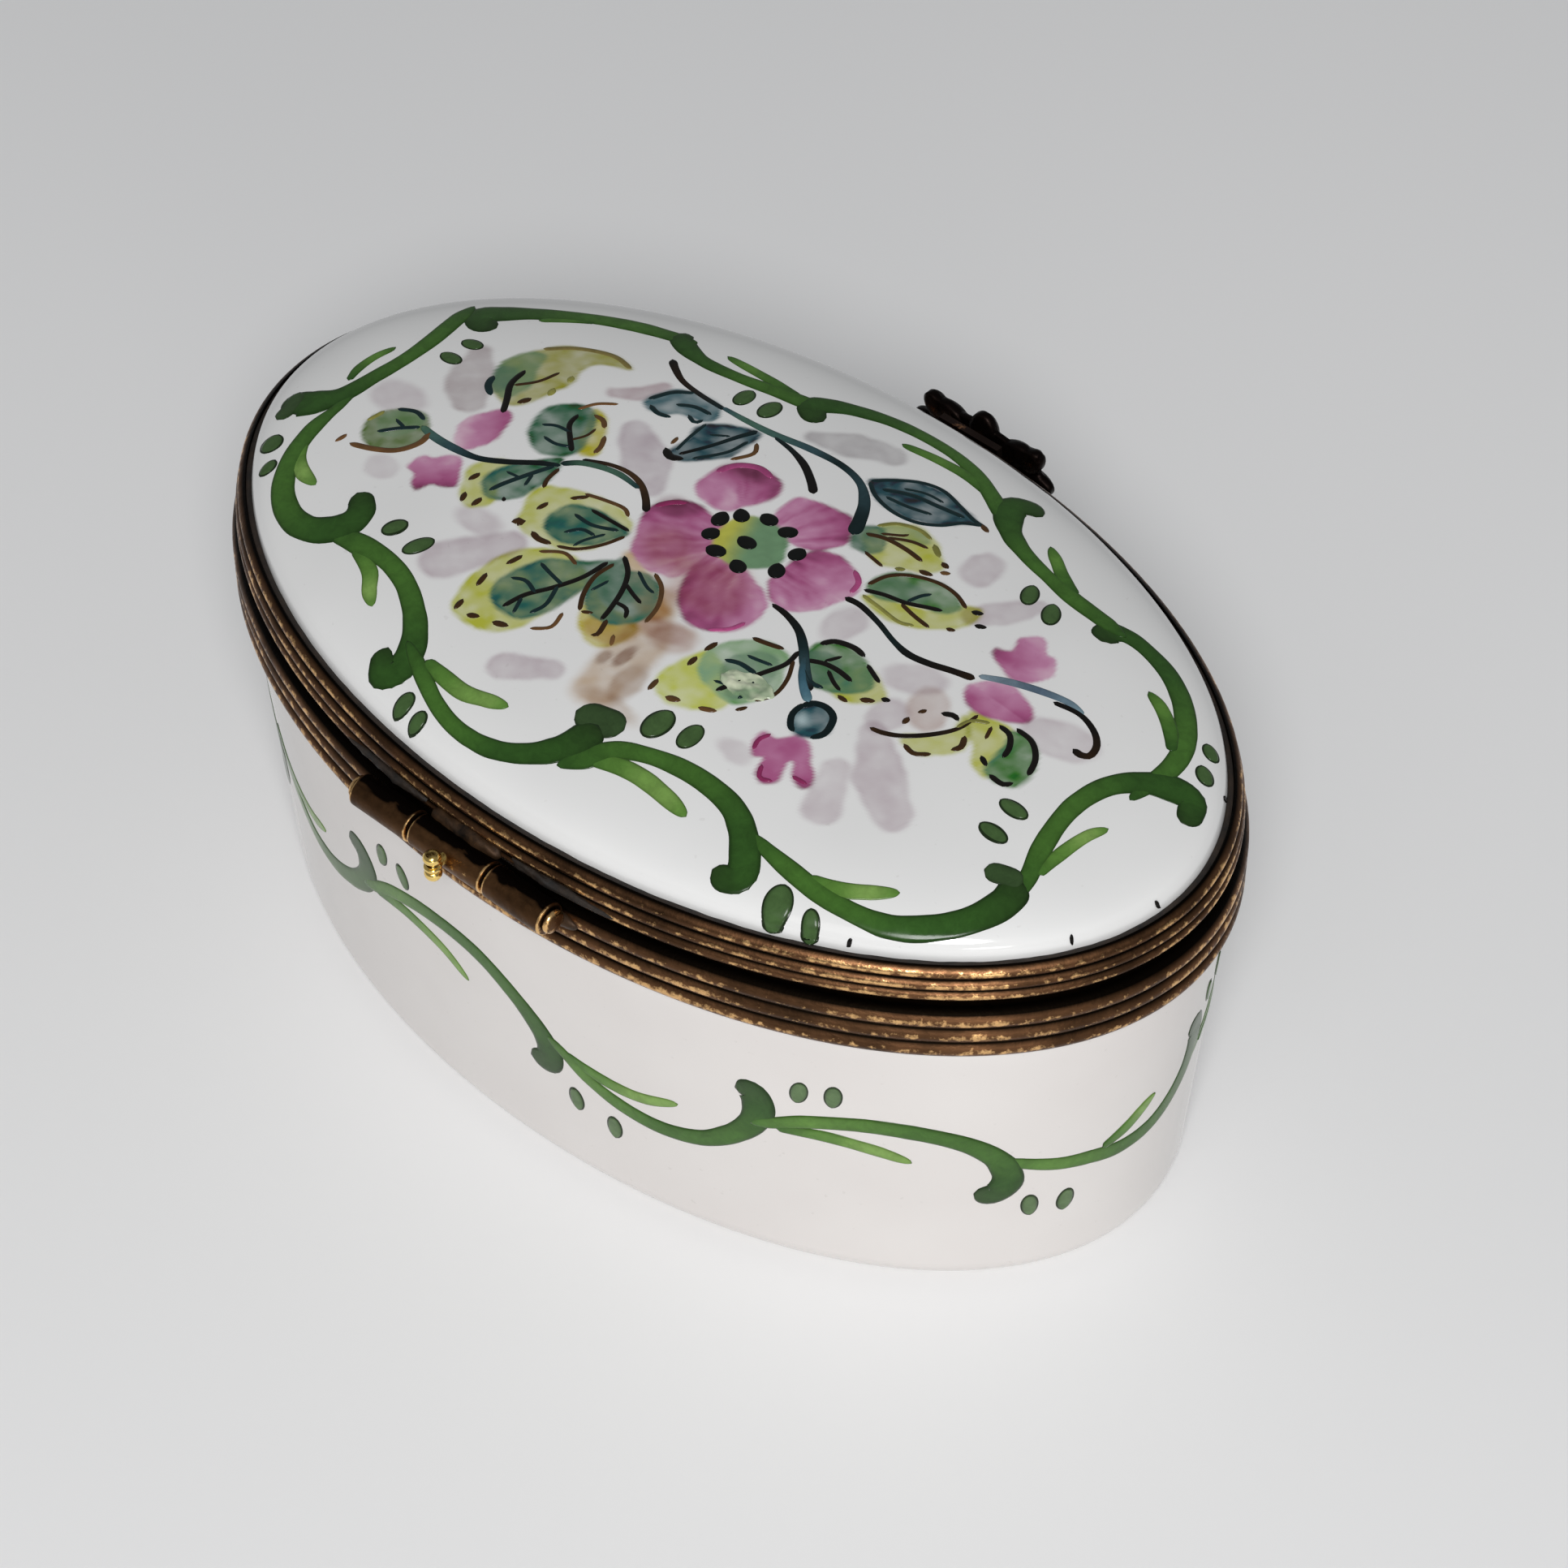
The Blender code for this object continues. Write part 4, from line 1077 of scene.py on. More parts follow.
LEAVES = [  # outline, colour, amount: the cool touch that covers part of each halo
    ([(16.6, -1.7), (17.9, -2.7), (18.35, -4.1), (17.9, -5.4), (17, -5.6), (16.5, -4.4), (15.9, -3.2),
     (16, -2.2)], GREEN, .85),
    ([(16.9, -1.7), (17.9, -2.6), (18.2, -3.5), (17.4, -3.9), (16.7, -3)], TEAL, .6),
    ([(11, -.5), (12, .0), (13, -.2), (13.8, -1), (14.15, -2.2), (13.8, -3.2), (12.9, -3.9), (12.1, -3.9),
     (11.4, -3.3), (10.9, -2.3), (10.7, -1.3)], TEAL, .88),
    ([(17.4, 2.3), (18.2, 1.65), (19.2, 1.7), (20.1, 2.4), (20.45, 3.5), (19.9, 4.5), (18.9, 4.9),
     (17.9, 4.7), (17.2, 3.9), (17.1, 3)], tone(120, 140, 96), .88),
    ([(18, 2), (19, 1.7), (19.9, 2.5), (19.8, 3.6), (18.9, 4), (18, 3.2)], GREEN, .6),
    ([(10.8, -.4), (10.3, 1.2), (10.35, 2.5), (10.8, 3.5), (11.6, 4), (12.5, 3.6), (12.9, 2.6),
     (12.5, 1.5), (11.9, .7), (11.4, -.1)], TEAL, .92),
    ([(4.7, 1.6), (5.8, 1.25), (7.2, 1.3), (8.3, 1.8), (8.65, 2.8), (8.2, 3.8), (7.2, 4.1), (6.2, 3.7),
     (5.4, 2.9)], TEAL, .92),
    ([(4, 3.3), (5.2, 4.2), (6.5, 5.3), (7.15, 6.6), (7.3, 7.9), (6.9, 8.8), (5.9, 9.1), (4.9, 8.9),
     (4.2, 7.8), (3.9, 6.4), (3.8, 4.8)], TEAL, .92),
    ([(3.9, 2.9), (3, 3.2), (2.2, 2.8), (1.2, 3.1), (.45, 4.2), (.35, 5.3), (1.1, 6.2), (2.2, 6.6),
     (3.2, 6.3), (3.9, 5.2), (4.1, 4)], TEAL, .88),
    ([(-6.5, 2.4), (-5.5, 2.4), (-4.3, 2.8), (-3.5, 3.6), (-3.3, 4.6), (-3.6, 5.6), (-4.4, 6.3),
     (-5.5, 6.5), (-6.6, 6.2), (-7.3, 5.2), (-7.4, 4.2), (-6.9, 3.3)], tone(150, 186, 142), .85),
    ([(-6.4, 3), (-5.2, 3.1), (-4.4, 4.2), (-4.7, 5.4), (-5.8, 6.2), (-6.6, 5.6), (-6.8, 4.2)], TEAL, .5),
    ([(-6.8, 1.6), (-7, .7), (-7.9, .05), (-8.9, .05), (-9.9, .5), (-10.4, 1.1), (-10.5, 1.7), (-10, 2.4),
     (-9.2, 2.9), (-8.2, 3.2), (-7.3, 2.6)], GREEN, .92),
    ([(-6.9, 1.5), (-8, 1), (-9, 1.6), (-8.9, 2.6), (-8, 2.9), (-7.2, 2.4)], TEAL, .6),
    ([(-5.9, -3.4), (-6, -4.6), (-6.8, -5.5), (-8, -6), (-9.2, -6), (-10.1, -5.4), (-9.9, -4.6),
     (-9, -4.3), (-8, -3.9), (-7, -3.2)], GREEN, .92),
    ([(-6.2, -3.3), (-6.2, -4.3), (-7, -5), (-8.2, -5.2), (-8.8, -4.5), (-7.4, -3.6)], TEAL, .45),
    ([(-2.9, -6.2), (-3.7, -7.1), (-4.5, -6.6), (-4.9, -5.8), (-4.4, -5.1), (-3.5, -5)], TEAL, .88),
    ([(-3.7, -6.9), (-4.4, -7.8), (-5.6, -8.2), (-6.2, -7.6), (-5.2, -7), (-4.4, -6.7)], GREEN, .5),
    ([(-1, -9.3), (-1.8, -10.3), (-2.9, -11.05), (-4, -11.35), (-5.3, -11.05), (-6.7, -10.7),
     (-6.1, -9.8), (-5.3, -8.9), (-4.2, -8.35), (-3, -8.25), (-2, -8.5)], BLUE, .92),
    ([(11, -6.2), (10.9, -7.2), (10.2, -8.1), (9.2, -8.5), (8, -8.4), (7.3, -7.6), (7.8, -6.9),
     (8.8, -6.6), (9.6, -5.9), (10.4, -5.8)], tone(86, 120, 128), .88),
    ([(5.1, -8.2), (6, -8), (7, -7.4), (7.7, -6.6), (7.4, -5.4), (7.5, -4.2), (6.8, -3.9), (5.9, -4.5),
     (5, -5.6), (4.9, -6.8)], BLUE, .92),
    ([(-16.9, -1.1), (-17.9, -1.3), (-18.8, -.7), (-19.35, .4), (-19.25, 1.4), (-18.4, 1.95),
     (-17.6, 1.6), (-17.3, .6), (-17.2, -.3)], GREEN, .92),
    ([(-9, 4.2), (-9.5, 3.8), (-10.2, 3.8), (-10.75, 4.4), (-10.8, 5.1), (-10.3, 5.7), (-9.6, 5.8),
     (-9, 5.3)], tone(64, 102, 110), .95),
]
STEMS = [  # points, widths, colours
    ([(5.2, -.2), (5.9, -.9), (6.8, -1.5), (7.8, -1.7), (8.9, -1.5), (10.1, -.9)], [.45, .35, .25], [INK,
     BROWN * .5, INK]),
    ([(6.6, -1.2), (8.2, -1.3), (9.8, -.8), (10.7, 0)], [.3, .45, .4], [TEALINK * 2.6, TEAL, TEALINK]),
    ([(10.6, .1), (11.6, .7), (12.8, 1.6), (14.1, 2.3), (15.6, 2.5), (16.8, 2.5), (17.9, 2.3)], [.3, .42,
     .4, .6, .4], [TEALINK, INK, TEALINK, BLUE, TEAL]),
    ([(12.3, -9.6), (11.6, -9.1), (10.6, -8.6), (9.2, -8.4), (7.6, -8.35)], [.5, .35, .3], [INK,
     UMBER * .5, TEALINK]),
    ([(7.8, -8.4), (6.2, -8.45), (4.6, -8.6), (2.6, -9), (.7, -9.15), (-.8, -8.8), (-1.9, -7.9),
     (-2.6, -6.8), (-3.1, -5.7)], [.3, .45, .5, .4, .7, .8], [BLUE, TEAL, BLUE, TEALINK, BLUE * .7,
     TEALINK, TEALINK]),
    ([(4.4, -8.45), (3.2, -8.3), (2, -7.9), (.9, -7.2), (.2, -6.6)], [.2, .45, .5], [TEALINK, INK, INK]),
    ([(5.3, -8.2), (5.7, -7.2), (6.2, -5.8), (6.9, -4.3)], [.35, .25, .2], [TEALINK, TEALINK, INK]),
    ([(-3.5, .45), (-4.4, .5), (-5.5, .85), (-6.4, 1.5), (-7.1, 2.2), (-7.8, 2.8), (-8.6, 3.4)], [.25, .4,
     .5, .55, .3], [INK, INK, TEALINK, BLUE * .7, INK]),
    ([(-6.9, 2), (-7.7, 3), (-8.4, 3.6), (-9, 4)], [.3, .5, .5], [BLUE * .6, tone(66, 110, 130),
     tone(110, 150, 164)]),
    ([(-5.7, -2.2), (-6.6, -2.3), (-8, -2), (-9.2, -1.6), (-10.3, -1.4), (-11.4, -1.6), (-12.5, -2),
     (-13.6, -2.35)], [.4, .35, .3, .45, .4, .5], [INK, INK, TEALINK, INK, INK, UMBER * .5]),
    ([(-13.6, -2.6), (-14.8, -3.3), (-16.2, -3.9), (-17.6, -4.3), (-18.6, -4.2)], [.35, .5, .45, .35],
     [tone(140, 160, 172), tone(96, 116, 136), tone(142, 172, 184)]),
    ([(-17.1, -3.8), (-18.4, -4.1), (-19.5, -3.8), (-20.2, -3.2), (-20.4, -2.5), (-20.1, -2.2),
     (-19.6, -2.2)], [.3, .35, .4, .45], [INK, INK, UMBER * .7, INK]),
    ([(-15.2, -.7), (-15.1, .5), (-14.5, 1.6), (-13.6, 2.6), (-12.8, 3.1), (-12.1, 3.3)], [.2, .25, .3,
     .3, .25], [UMBER, INK, UMBER]),
]
VEINS = [  # fine lines: points, width, colour
    ([(15.5, -.9), (16.1, -1.8), (16.8, -2.8), (17, -4)], .3, INK),
    ([(16.6, -2.8), (15.9, -3.8), (15.6, -5)], .2, UMBER),
    ([(17.9, -2.7), (17.6, -2), (16.9, -1.5)], .35, TEALINK),
    ([(17.6, -5.9), (16.3, -7.1), (14.6, -7.8), (13.2, -7.6)], .28, tone(120, 108, 62)),
    ([(14.9, -5.2), (14.7, -4.7)], .4, OLIVE * .6), ([(14.9, -3.9), (14.7, -3.3)], .4, OLIVE * .6),
    ([(15.2, -2.6), (15.5, -1.9)], .35, UMBER),
    ([(10.9, -1), (11.7, -1.7), (12.4, -2.4), (12.6, -3.2)], .25, INK),
    ([(11.9, -2), (12.8, -1.9), (13.4, -1.5)], .18, TEALINK),
    ([(11.2, -1.2), (11.9, -.9), (12.7, -.9)], .18, TEALINK),
    ([(11.6, -1.5), (11.2, -2.3), (11.2, -3)], .16, UMBER),
    ([(10, -1.6), (10.1, -2.2), (10.5, -2.9)], .26, BROWN * .7),
    ([(10.9, -3.3), (11.4, -3.7), (12, -3.7)], .26, BROWN * .7),
    ([(12.9, -3.5), (12.5, -4.4), (11.7, -5.1)], .2, BROWN),
    ([(17.2, 2.4), (17.1, 3.3), (17.6, 4.3), (18.6, 4.9), (19.9, 5.3)], .32, BROWN * .8),
    ([(20.5, 4.9), (20.6, 5.6)], .26, BROWN), ([(17.9, 2.4), (18.7, 3.1), (19.4, 3.9)], .24, TEALINK),
    ([(18.5, 2.9), (19.3, 2.7)], .18, TEALINK), ([(20.2, 2.6), (20.4, 3.6)], .22, OLIVE * .5),
    ([(19.8, 2.1), (18.9, 1.7), (18.1, 1.9)], .26, TEALINK),
    ([(10.8, .3), (11.3, 1.5), (11.8, 2.8), (12, 3.6)], .26, TEALINK),
    ([(11.2, 1.4), (10.9, 2.3)], .18, TEALINK), ([(11.5, 2), (12.3, 2.1)], .16, TEALINK),
    ([(10.5, .3), (10.4, 1.2), (10.1, 1.8)], .22, UMBER), ([(13.2, 3), (13.3, 3.7)], .3, UMBER),
    ([(12.8, 4.4), (12.5, 5)], .28, UMBER), ([(11.9, 4.2), (11.9, 4.9)], .3, UMBER),
    ([(11.1, 3.5), (10.9, 3.7)], .26, INK), ([(4.9, 1.3), (6, 1.35), (7.3, 1.4)], .22, INK),
    ([(5.3, 1.6), (6.5, 2.15), (7.7, 2.15)], .22, TEALINK),
    ([(5.9, 2.6), (6.7, 2.7), (7.2, 3.4)], .2, TEALINK),
    ([(4.8, 1.7), (5.2, 2.8), (5.9, 3.8), (6.8, 4.3)], .2, UMBER),
    ([(5.6, 2.2), (6.1, 3.2), (6.2, 3.8)], .16, TEALINK),
    ([(8.4, 4.35), (7.8, 4.5), (7.1, 4.35)], .3, UMBER),
    ([(9.6, 4.5), (9.3, 4.1), (9.2, 4.5)], .4, UMBER), ([(9.2, 2.4), (9.3, 3.1)], .26, UMBER),
    ([(8.6, 1.5), (8, .8)], .24, UMBER),
    ([(8.3, .8), (7.3, .5), (6.2, .3), (5.6, .6)], .22, BROWN * .6),
    ([(4.2, 3.5), (4.4, 5), (5, 6.4), (5.7, 7.6), (6, 8.8)], .26, INK),
    ([(4.8, 6), (5.8, 5.8), (6.6, 5.6)], .2, TEALINK), ([(5.4, 7.2), (6.3, 6.9), (7, 7.2)], .2, TEALINK),
    ([(4.9, 6.2), (4.5, 7.4), (4.7, 8.3)], .2, TEALINK), ([(5.7, 7.8), (5.3, 8.8)], .18, TEALINK),
    ([(7.6, 5.8), (7.8, 6.7)], .26, UMBER), ([(8.1, 7.7), (7.9, 8.6)], .26, UMBER),
    ([(7.8, 9.6), (7.7, 10.3)], .28, UMBER), ([(7, 10.2), (6.4, 9.9)], .34, UMBER),
    ([(5.7, 9.8), (4.9, 9.5)], .34, UMBER), ([(3.5, 7.3), (3.3, 8.3), (4, 9)], .2, BROWN * .8),
    ([(5.2, 4.6), (6.2, 4.4), (7.2, 5.1)], .2, BROWN * .6),
    ([(3.9, 2.7), (3, 3.4), (2.4, 4.4), (2, 5.6), (1.8, 6.5)], .24, INK),
    ([(2.6, 4), (1.8, 4.3), (1.1, 4.5)], .2, INK),
    ([(3.9, 3.4), (4, 4.6), (3.6, 5.8), (3, 6.7)], .22, UMBER), ([(3.3, 4.4), (3.5, 5.4)], .16, TEALINK),
    ([(2.1, 5.2), (1.4, 5.2), (1, 5.7)], .2, INK), ([(2.7, 3), (1.7, 3.5), (1.1, 3.6)], .18, TEALINK),
    ([(2, 2.6), (1.1, 3.1), (.4, 4.1), (.1, 5.3)], .22, BROWN * .6),
    ([(1.6, 6.3), (1.3, 7.2), (1.5, 7.5)], .24, UMBER), ([(.7, 6.8), (.3, 7.4)], .2, BROWN),
    ([(2.9, 6.7), (2.4, 6.4)], .2, UMBER),
    ([(-6.5, 1.9), (-6.6, 2.9), (-6.2, 4), (-5.7, 5.2), (-5.3, 6.3)], .25, INK),
    ([(-6.2, 3.4), (-5.4, 3.6), (-4.9, 3.7)], .18, TEALINK),
    ([(-6, 4.3), (-5, 4.3), (-4.3, 4.6)], .24, TEALINK),
    ([(-6, 4.4), (-6.5, 5.2), (-6.4, 6)], .2, TEALINK), ([(-5.6, 5.6), (-4.8, 5.9)], .18, TEALINK),
    ([(-6.7, 2.5), (-7.3, 3.6), (-7.5, 4.7), (-7.1, 5.6)], .2, UMBER),
    ([(-4.3, 2.7), (-5.1, 2.5), (-5.9, 2.25)], .26, UMBER), ([(-3.3, 4), (-3.2, 4.8)], .28, UMBER),
    ([(-3.2, 5.3), (-3.25, 6)], .28, UMBER), ([(-2.8, 7.5), (-2.9, 8.3)], .26, BROWN * .5),
    ([(-3.8, 8.1), (-4.5, 7.8)], .34, BROWN * .6), ([(-5.4, 7.6), (-6.2, 7.2)], .26, BROWN * .7),
    ([(-6.8, 6.6), (-7.1, 6.1)], .2, UMBER),
    ([(-7.1, 2.1), (-7.9, 1.7), (-8.7, 1.6), (-9.6, 1.7)], .28, INK),
    ([(-7.8, 1.6), (-8.2, .8)], .2, INK), ([(-8.3, 1.9), (-9, 2.3), (-9.6, 2.5)], .2, INK),
    ([(-6.9, .9), (-7.3, .3), (-8.2, 0), (-9, .1)], .3, INK),
    ([(-9.4, .4), (-10.1, .7), (-10.6, .9)], .22, INK), ([(-11.3, 1.6), (-11.7, 1.4)], .36, INK),
    ([(-10.6, 2.3), (-11.2, 1.9)], .3, UMBER), ([(-9.7, 2.8), (-10.3, 2.8)], .24, UMBER),
    ([(-7.3, 2.5), (-8.2, 3), (-8.9, 2.9)], .24, TEALINK),
    ([(-6, -3.2), (-6.9, -3.6), (-8, -3.9), (-9, -4.4), (-9.6, -4.7)], .26, INK),
    ([(-8, -4), (-8.2, -4.7), (-8.5, -5.2)], .2, TEALINK),
    ([(-7.9, -3.7), (-8.9, -3.5), (-9.9, -3.4)], .22, UMBER),
    ([(-5.9, -3.6), (-6.2, -4.7), (-7, -5.5), (-8.2, -6), (-9.3, -6), (-10.3, -5.6)], .22, UMBER),
    ([(-6.2, -2.9), (-7.4, -2.8), (-8.6, -2.7), (-9.3, -3)], .2, OLIVE * .5),
    ([(-10.6, -5.6), (-11.1, -5.9)], .34, INK), ([(-11.3, -5), (-11.8, -5.3)], .3, INK),
    ([(-10.5, -3.9), (-10.9, -4.1)], .26, UMBER),
    ([(-3.5, -6.2), (-4.4, -6.6), (-5.6, -6.7), (-6.7, -6.6)], .24, UMBER),
    ([(-4.4, -6.7), (-5.4, -7.3), (-6.3, -7.5)], .2, UMBER),
    ([(-4, -6.7), (-4.8, -7.3), (-5, -7.6)], .18, UMBER),
    ([(-3.5, -7), (-4.1, -7.8), (-5.1, -8.2), (-6, -8.1)], .22, OLIVE * .45),
    ([(-6.3, -7.9), (-7.1, -7.4)], .3, OLIVE * .4), ([(-7.4, -7.2), (-7.9, -7.1)], .36, UMBER),
    ([(-7.8, -6.6), (-8.2, -6.9)], .3, BROWN * .7), ([(-7, -6), (-7.7, -6.2)], .3, UMBER),
    ([(-6.1, -5.3), (-6.5, -5.6)], .28, OLIVE * .4), ([(-4.3, -5.2), (-5, -5.1), (-5.6, -5)], .18, UMBER),
    ([(-1.1, -9.3), (-1.9, -10.2), (-2.9, -11), (-4, -11.3), (-5.3, -11), (-6.4, -10.7), (-7.2, -10.7)],
     .22, TEALINK),
    ([(-1.1, -9.2), (-2, -8.6), (-3.3, -8.3), (-4.6, -8.5), (-5.6, -9.2), (-6.2, -10.1), (-7, -10.7)],
     .22, TEALINK),
    ([(-1.9, -9.2), (-3.2, -9.9), (-4.6, -10.2), (-6, -10.5)], .26, TEALINK),
    ([(-2.4, -8.9), (-3.6, -9.1), (-4.8, -9.5)], .2, TEALINK),
    ([(-2.6, -10), (-3.6, -10.5), (-4.6, -10.6)], .16, TEALINK),
    ([(-6.9, -10.7), (-7.5, -10.5)], .3, BROWN * .5),
    ([(4.7, -7.5), (4.3, -6.8), (4.8, -5.7)], .22, BROWN * .7),
    ([(7.8, -5.2), (7.7, -4.6)], .2, BROWN * .7), ([(7.7, -4.2), (7.1, -3.9), (6.5, -4.2)], .4, INK),
    ([(7.5, -6.9), (7.4, -5.6), (7.2, -4.4)], .18, TEALINK),
    ([(5.1, -7.3), (5.3, -6), (6.2, -4.5)], .2, TEALINK), ([(6, -7), (6.8, -6.4)], .16, TEALINK),
    ([(10.9, -6.4), (10.4, -7.6), (9.6, -8.3)], .26, TEALINK),
    ([(10.5, -6.1), (9.8, -5.9), (9.1, -6.1)], .26, TEALINK),
    ([(7.8, -7.6), (8.8, -7.5), (9.6, -7)], .24, TEALINK),
    ([(8.6, -6.8), (8, -6.6), (7.8, -7)], .22, TEALINK),
    ([(-16.3, -.9), (-17, -.8), (-17.5, -.2), (-17.7, .5)], .26, INK),
    ([(-17, -1.3), (-18, -1.2), (-18.8, -.5), (-19.2, .5)], .26, INK),
    ([(-16.9, 1.1), (-17.5, 1.4)], .28, INK), ([(-17.9, 1.7), (-18.7, 1.7), (-19, 1.3)], .28, INK),
    ([(-16.1, -.6), (-16.4, .2)], .18, UMBER), ([(-15.6, .7), (-15.9, 1.3), (-15.7, 1.8)], .28, UMBER),
    ([(-13.9, .4), (-14.4, .1), (-14.8, .2)], .3, INK), ([(-13.3, .7), (-13.1, 1.1)], .24, UMBER),
    ([(-13, 1.6), (-13.05, 2.1)], .3, UMBER), ([(-13.9, 3), (-14.6, 3.1), (-15.2, 2.6)], .24, UMBER),
    ([(-15.9, -.7), (-15.2, -.2), (-15, .6)], .2, OLIVE * .4),
    ([(-8.9, 4.4), (-9.2, 3.9), (-9.8, 3.7), (-10.4, 3.9), (-10.7, 4.4), (-10.8, 5), (-10.5, 5.6)], .34,
     TEALINK * .5),
    ([(-8.9, 4.2), (-8.9, 5), (-9.3, 5.6), (-9.7, 5.8)], .3, TEALINK * .5),
]
PETAL_LINES = [
    ([(5.2, -.8), (4.8, -1.5), (4.2, -2)], .3, PLUM),
    ([(4.7, -4.6), (4.3, -5.6), (3.4, -6.2), (2.4, -6.1)], .34, MAGENTA * .75),
    ([(-5.7, -2.6), (-5.5, -3.4), (-4.8, -3.9)], .26, MAGENTA * .85),
    ([(-3.4, 2.2), (-3.1, 3), (-2.4, 3.7)], .22, MAGENTA * .9),
    ([(-9, 6.6), (-8.8, 7.2), (-9, 7.8)], .2, PLUM),
    ([(-9.9, 8.2), (-10.3, 8.8), (-10.9, 8.6)], .2, PLUM), ([(-11.4, 7.8), (-12.2, 7.7)], .2, PLUM),
]
RIM_SPECKS = [(133, .997, 60), (161, .996, 140), (176, .998, 30), (201, .997, 110)]  # angle, reach, turn
STAMENS = [  # x, y
    (.5, -3.75), (-.75, -3.7), (-2.1, -2.85), (-2.15, -1.35), (-.6, -.35), (.9, -.45), (1.9, -1.15),
    (2.25, -2.2), (1.65, -3.05), (.2, -1.85),
]


def petal(X, Y, C, shape, heavy, depth, seed):
    """One brushful of pink, streaked outwards from the flower's eye and darker on its heavy side."""
    polygon, heavy = outline(shape, 4), np.array(heavy)
    near = near_box(X, Y, polygon, 0.2)
    x, y = X[near], Y[near]
    away = inside_depth(x, y, polygon)
    cover = smooth(away / 0.12 * 0.5 + 0.5)[:, None]
    middle = polygon.mean(0)
    gather = ((x - middle[0]) * heavy[0] + (y - middle[1]) * heavy[1]) / (0.5 * np.ptp(polygon @ heavy))
    angle, far = np.arctan2(y - EYE_Y, x - EYE_X), np.hypot(x - EYE_X, y - EYE_Y)
    streak = ripple(angle * 9, far * 0.55, 1.0, seed)
    load = depth + 0.30 * gather + 0.27 * streak + 0.12 * ripple(x, y, 0.5, seed + 1)
    load = load + 0.16 * np.exp(-(np.maximum(away, 0) / 0.09) ** 2)
    levels = (0.0, 0.35, 0.7, 1.0)
    colour = np.stack([np.interp(load, levels, channel) for channel in np.transpose(PETAL_TONES)], -1)
    C[near] = C[near] * (1 - cover) + colour * cover


def lid_colours(X, Y):
    """Watercolour on the lid, as a multiplier of the glaze at each point."""
    C = np.ones((len(X), 3))
    x = X + 0.16 * ripple(X, Y, 1.3, 1.0) + 0.05 * ripple(X, Y, 0.4, 2.0)
    y = Y + 0.16 * ripple(Y, X, 1.3, 3.0) + 0.05 * ripple(Y, X, 0.4, 4.0)
    for kind, where, colour, amount, soft in SHADOWS + STAINS:
        wash(x, y, C, kind, where, colour, amount * 0.9, soft * 0.6, 0.1)
    for shape, colour, amount in HALOS:
        wash(x, y, C, "shape", shape, colour, amount, 0.16, 0.14)
    for shape, colour, amount in LEAVES:
        wash(x, y, C, "shape", shape, colour, amount, 0.13, 0.14, cover=True)
    for i, (shape, heavy) in enumerate(zip(PETALS, PETAL_SIDES)):
        petal(x, y, C, shape, heavy, 0.52, 3.0 * i)
    for shape, heavy, depth in BLOSSOMS:
        petal(x, y, C, shape, heavy, depth, shape[0][0])
    wash(x, y, C, "blob", (-9.5, 5.0, 0.32, 0.28, 0), tone(196, 218, 222), 0.85, 0.3, cover=True)
    wash(x, y, C, "blob", (3.5, -5.6, 1.1, 0.55, 15), PLUM, 0.55, 0.35)
    wash(x, y, C, "blob", (4.4, -1.4, 0.8, 0.7, 0), PLUM, 0.5, 0.4)
    wash(x, y, C, "blob", (-0.6, 1.6, 2.0, 1.8, 20), BLUSH, 0.55, 0.7)
    wash(x, y, C, "blob", (2.6, 0.9, 1.7, 1.3, 0), BLUSH, 0.55, 0.7)
    # The flower's green eye replaces the pink under it.
    eye = smooth((EYE_R - np.hypot(x - EYE_X, (y - EYE_Y) * 1.02)) / 0.25)[:, None]
    green = EYE_GREEN + (EYE_YELLOW - EYE_GREEN) * smooth((x + y * 0.4 + 0.9) / 1.6)[:, None]
    green = green * (1 + 0.12 * ripple(x, y, 0.4, 5.0)[:, None])
    return np.clip(C * (1 - eye) + green * eye, 0.01, 1)


def build_flake():
    """A thick, crazed flake of clear glaze over one leaf: small wavy facets that glint, and whitish patches
    in its colour that are painted glints.
    """
    rings, around = 18, 56
    centre_x, centre_y, half_x, half_y = -6.15, 5.15, 1.45, 0.85
    c, s = np.cos(circle(around)), np.sin(circle(around))
    reach = 1 + 0.22 * ripple(c * 2, s * 2, 0.8, 6.0)
    verts = []
    for part in np.linspace(1, 0.04, rings):
        x = centre_x + half_x * part * reach * c + 0.25 * part * s
        y = centre_y + half_y * part * reach * s
        verts.append(lid_skin(x, y, 0.08 + 0.04 * (1 - part) + 0.10 * ripple(x, y, 0.36, 9.0)
                              if verts else -0.02))
    faces = bands(rings, around) + end_caps(rings, around)[::-1]
    place(new_mesh("lid_glaze_flake", np.vstack(verts), faces, FLAKE_WITH_PAINTED_GLINTS, sharp=35), "lid", "porcelain")


def build_flowers():
    paint = Enamel("lid_stem_enamel", lid_skin, "lid", "porcelain", ENAMEL, lift=0.022)
    for points, widths, colours in STEMS:
        paint.stroke(points, widths, [c * 0.72 for c in colours], 0.5, tips=(1.4, 1.4))
    for angle, reach, turn in RIM_SPECKS:
        c, s = facing(angle)
        paint.dot(c * PLATE_X * reach, s * PLATE_Y * reach, 0.26, 0.18, turn, INK * 0.6, 0.3)
    for points, width, colour in VEINS + PETAL_LINES:
        paint.line(points, width * 1.3, colour, tips=(1.6, 2.2))
    paint.finish()
    stamens = Enamel("lid_stamen_enamel", lid_skin, "lid", "porcelain", ENAMEL, lift=0.05)
    for i, (x, y) in enumerate(STAMENS):
        stamens.dot(x, y, 0.98 + 0.08 * math.sin(3 * i), 0.86, 40 * i, tone(14, 16, 14), 0.3)
    stamens.finish()


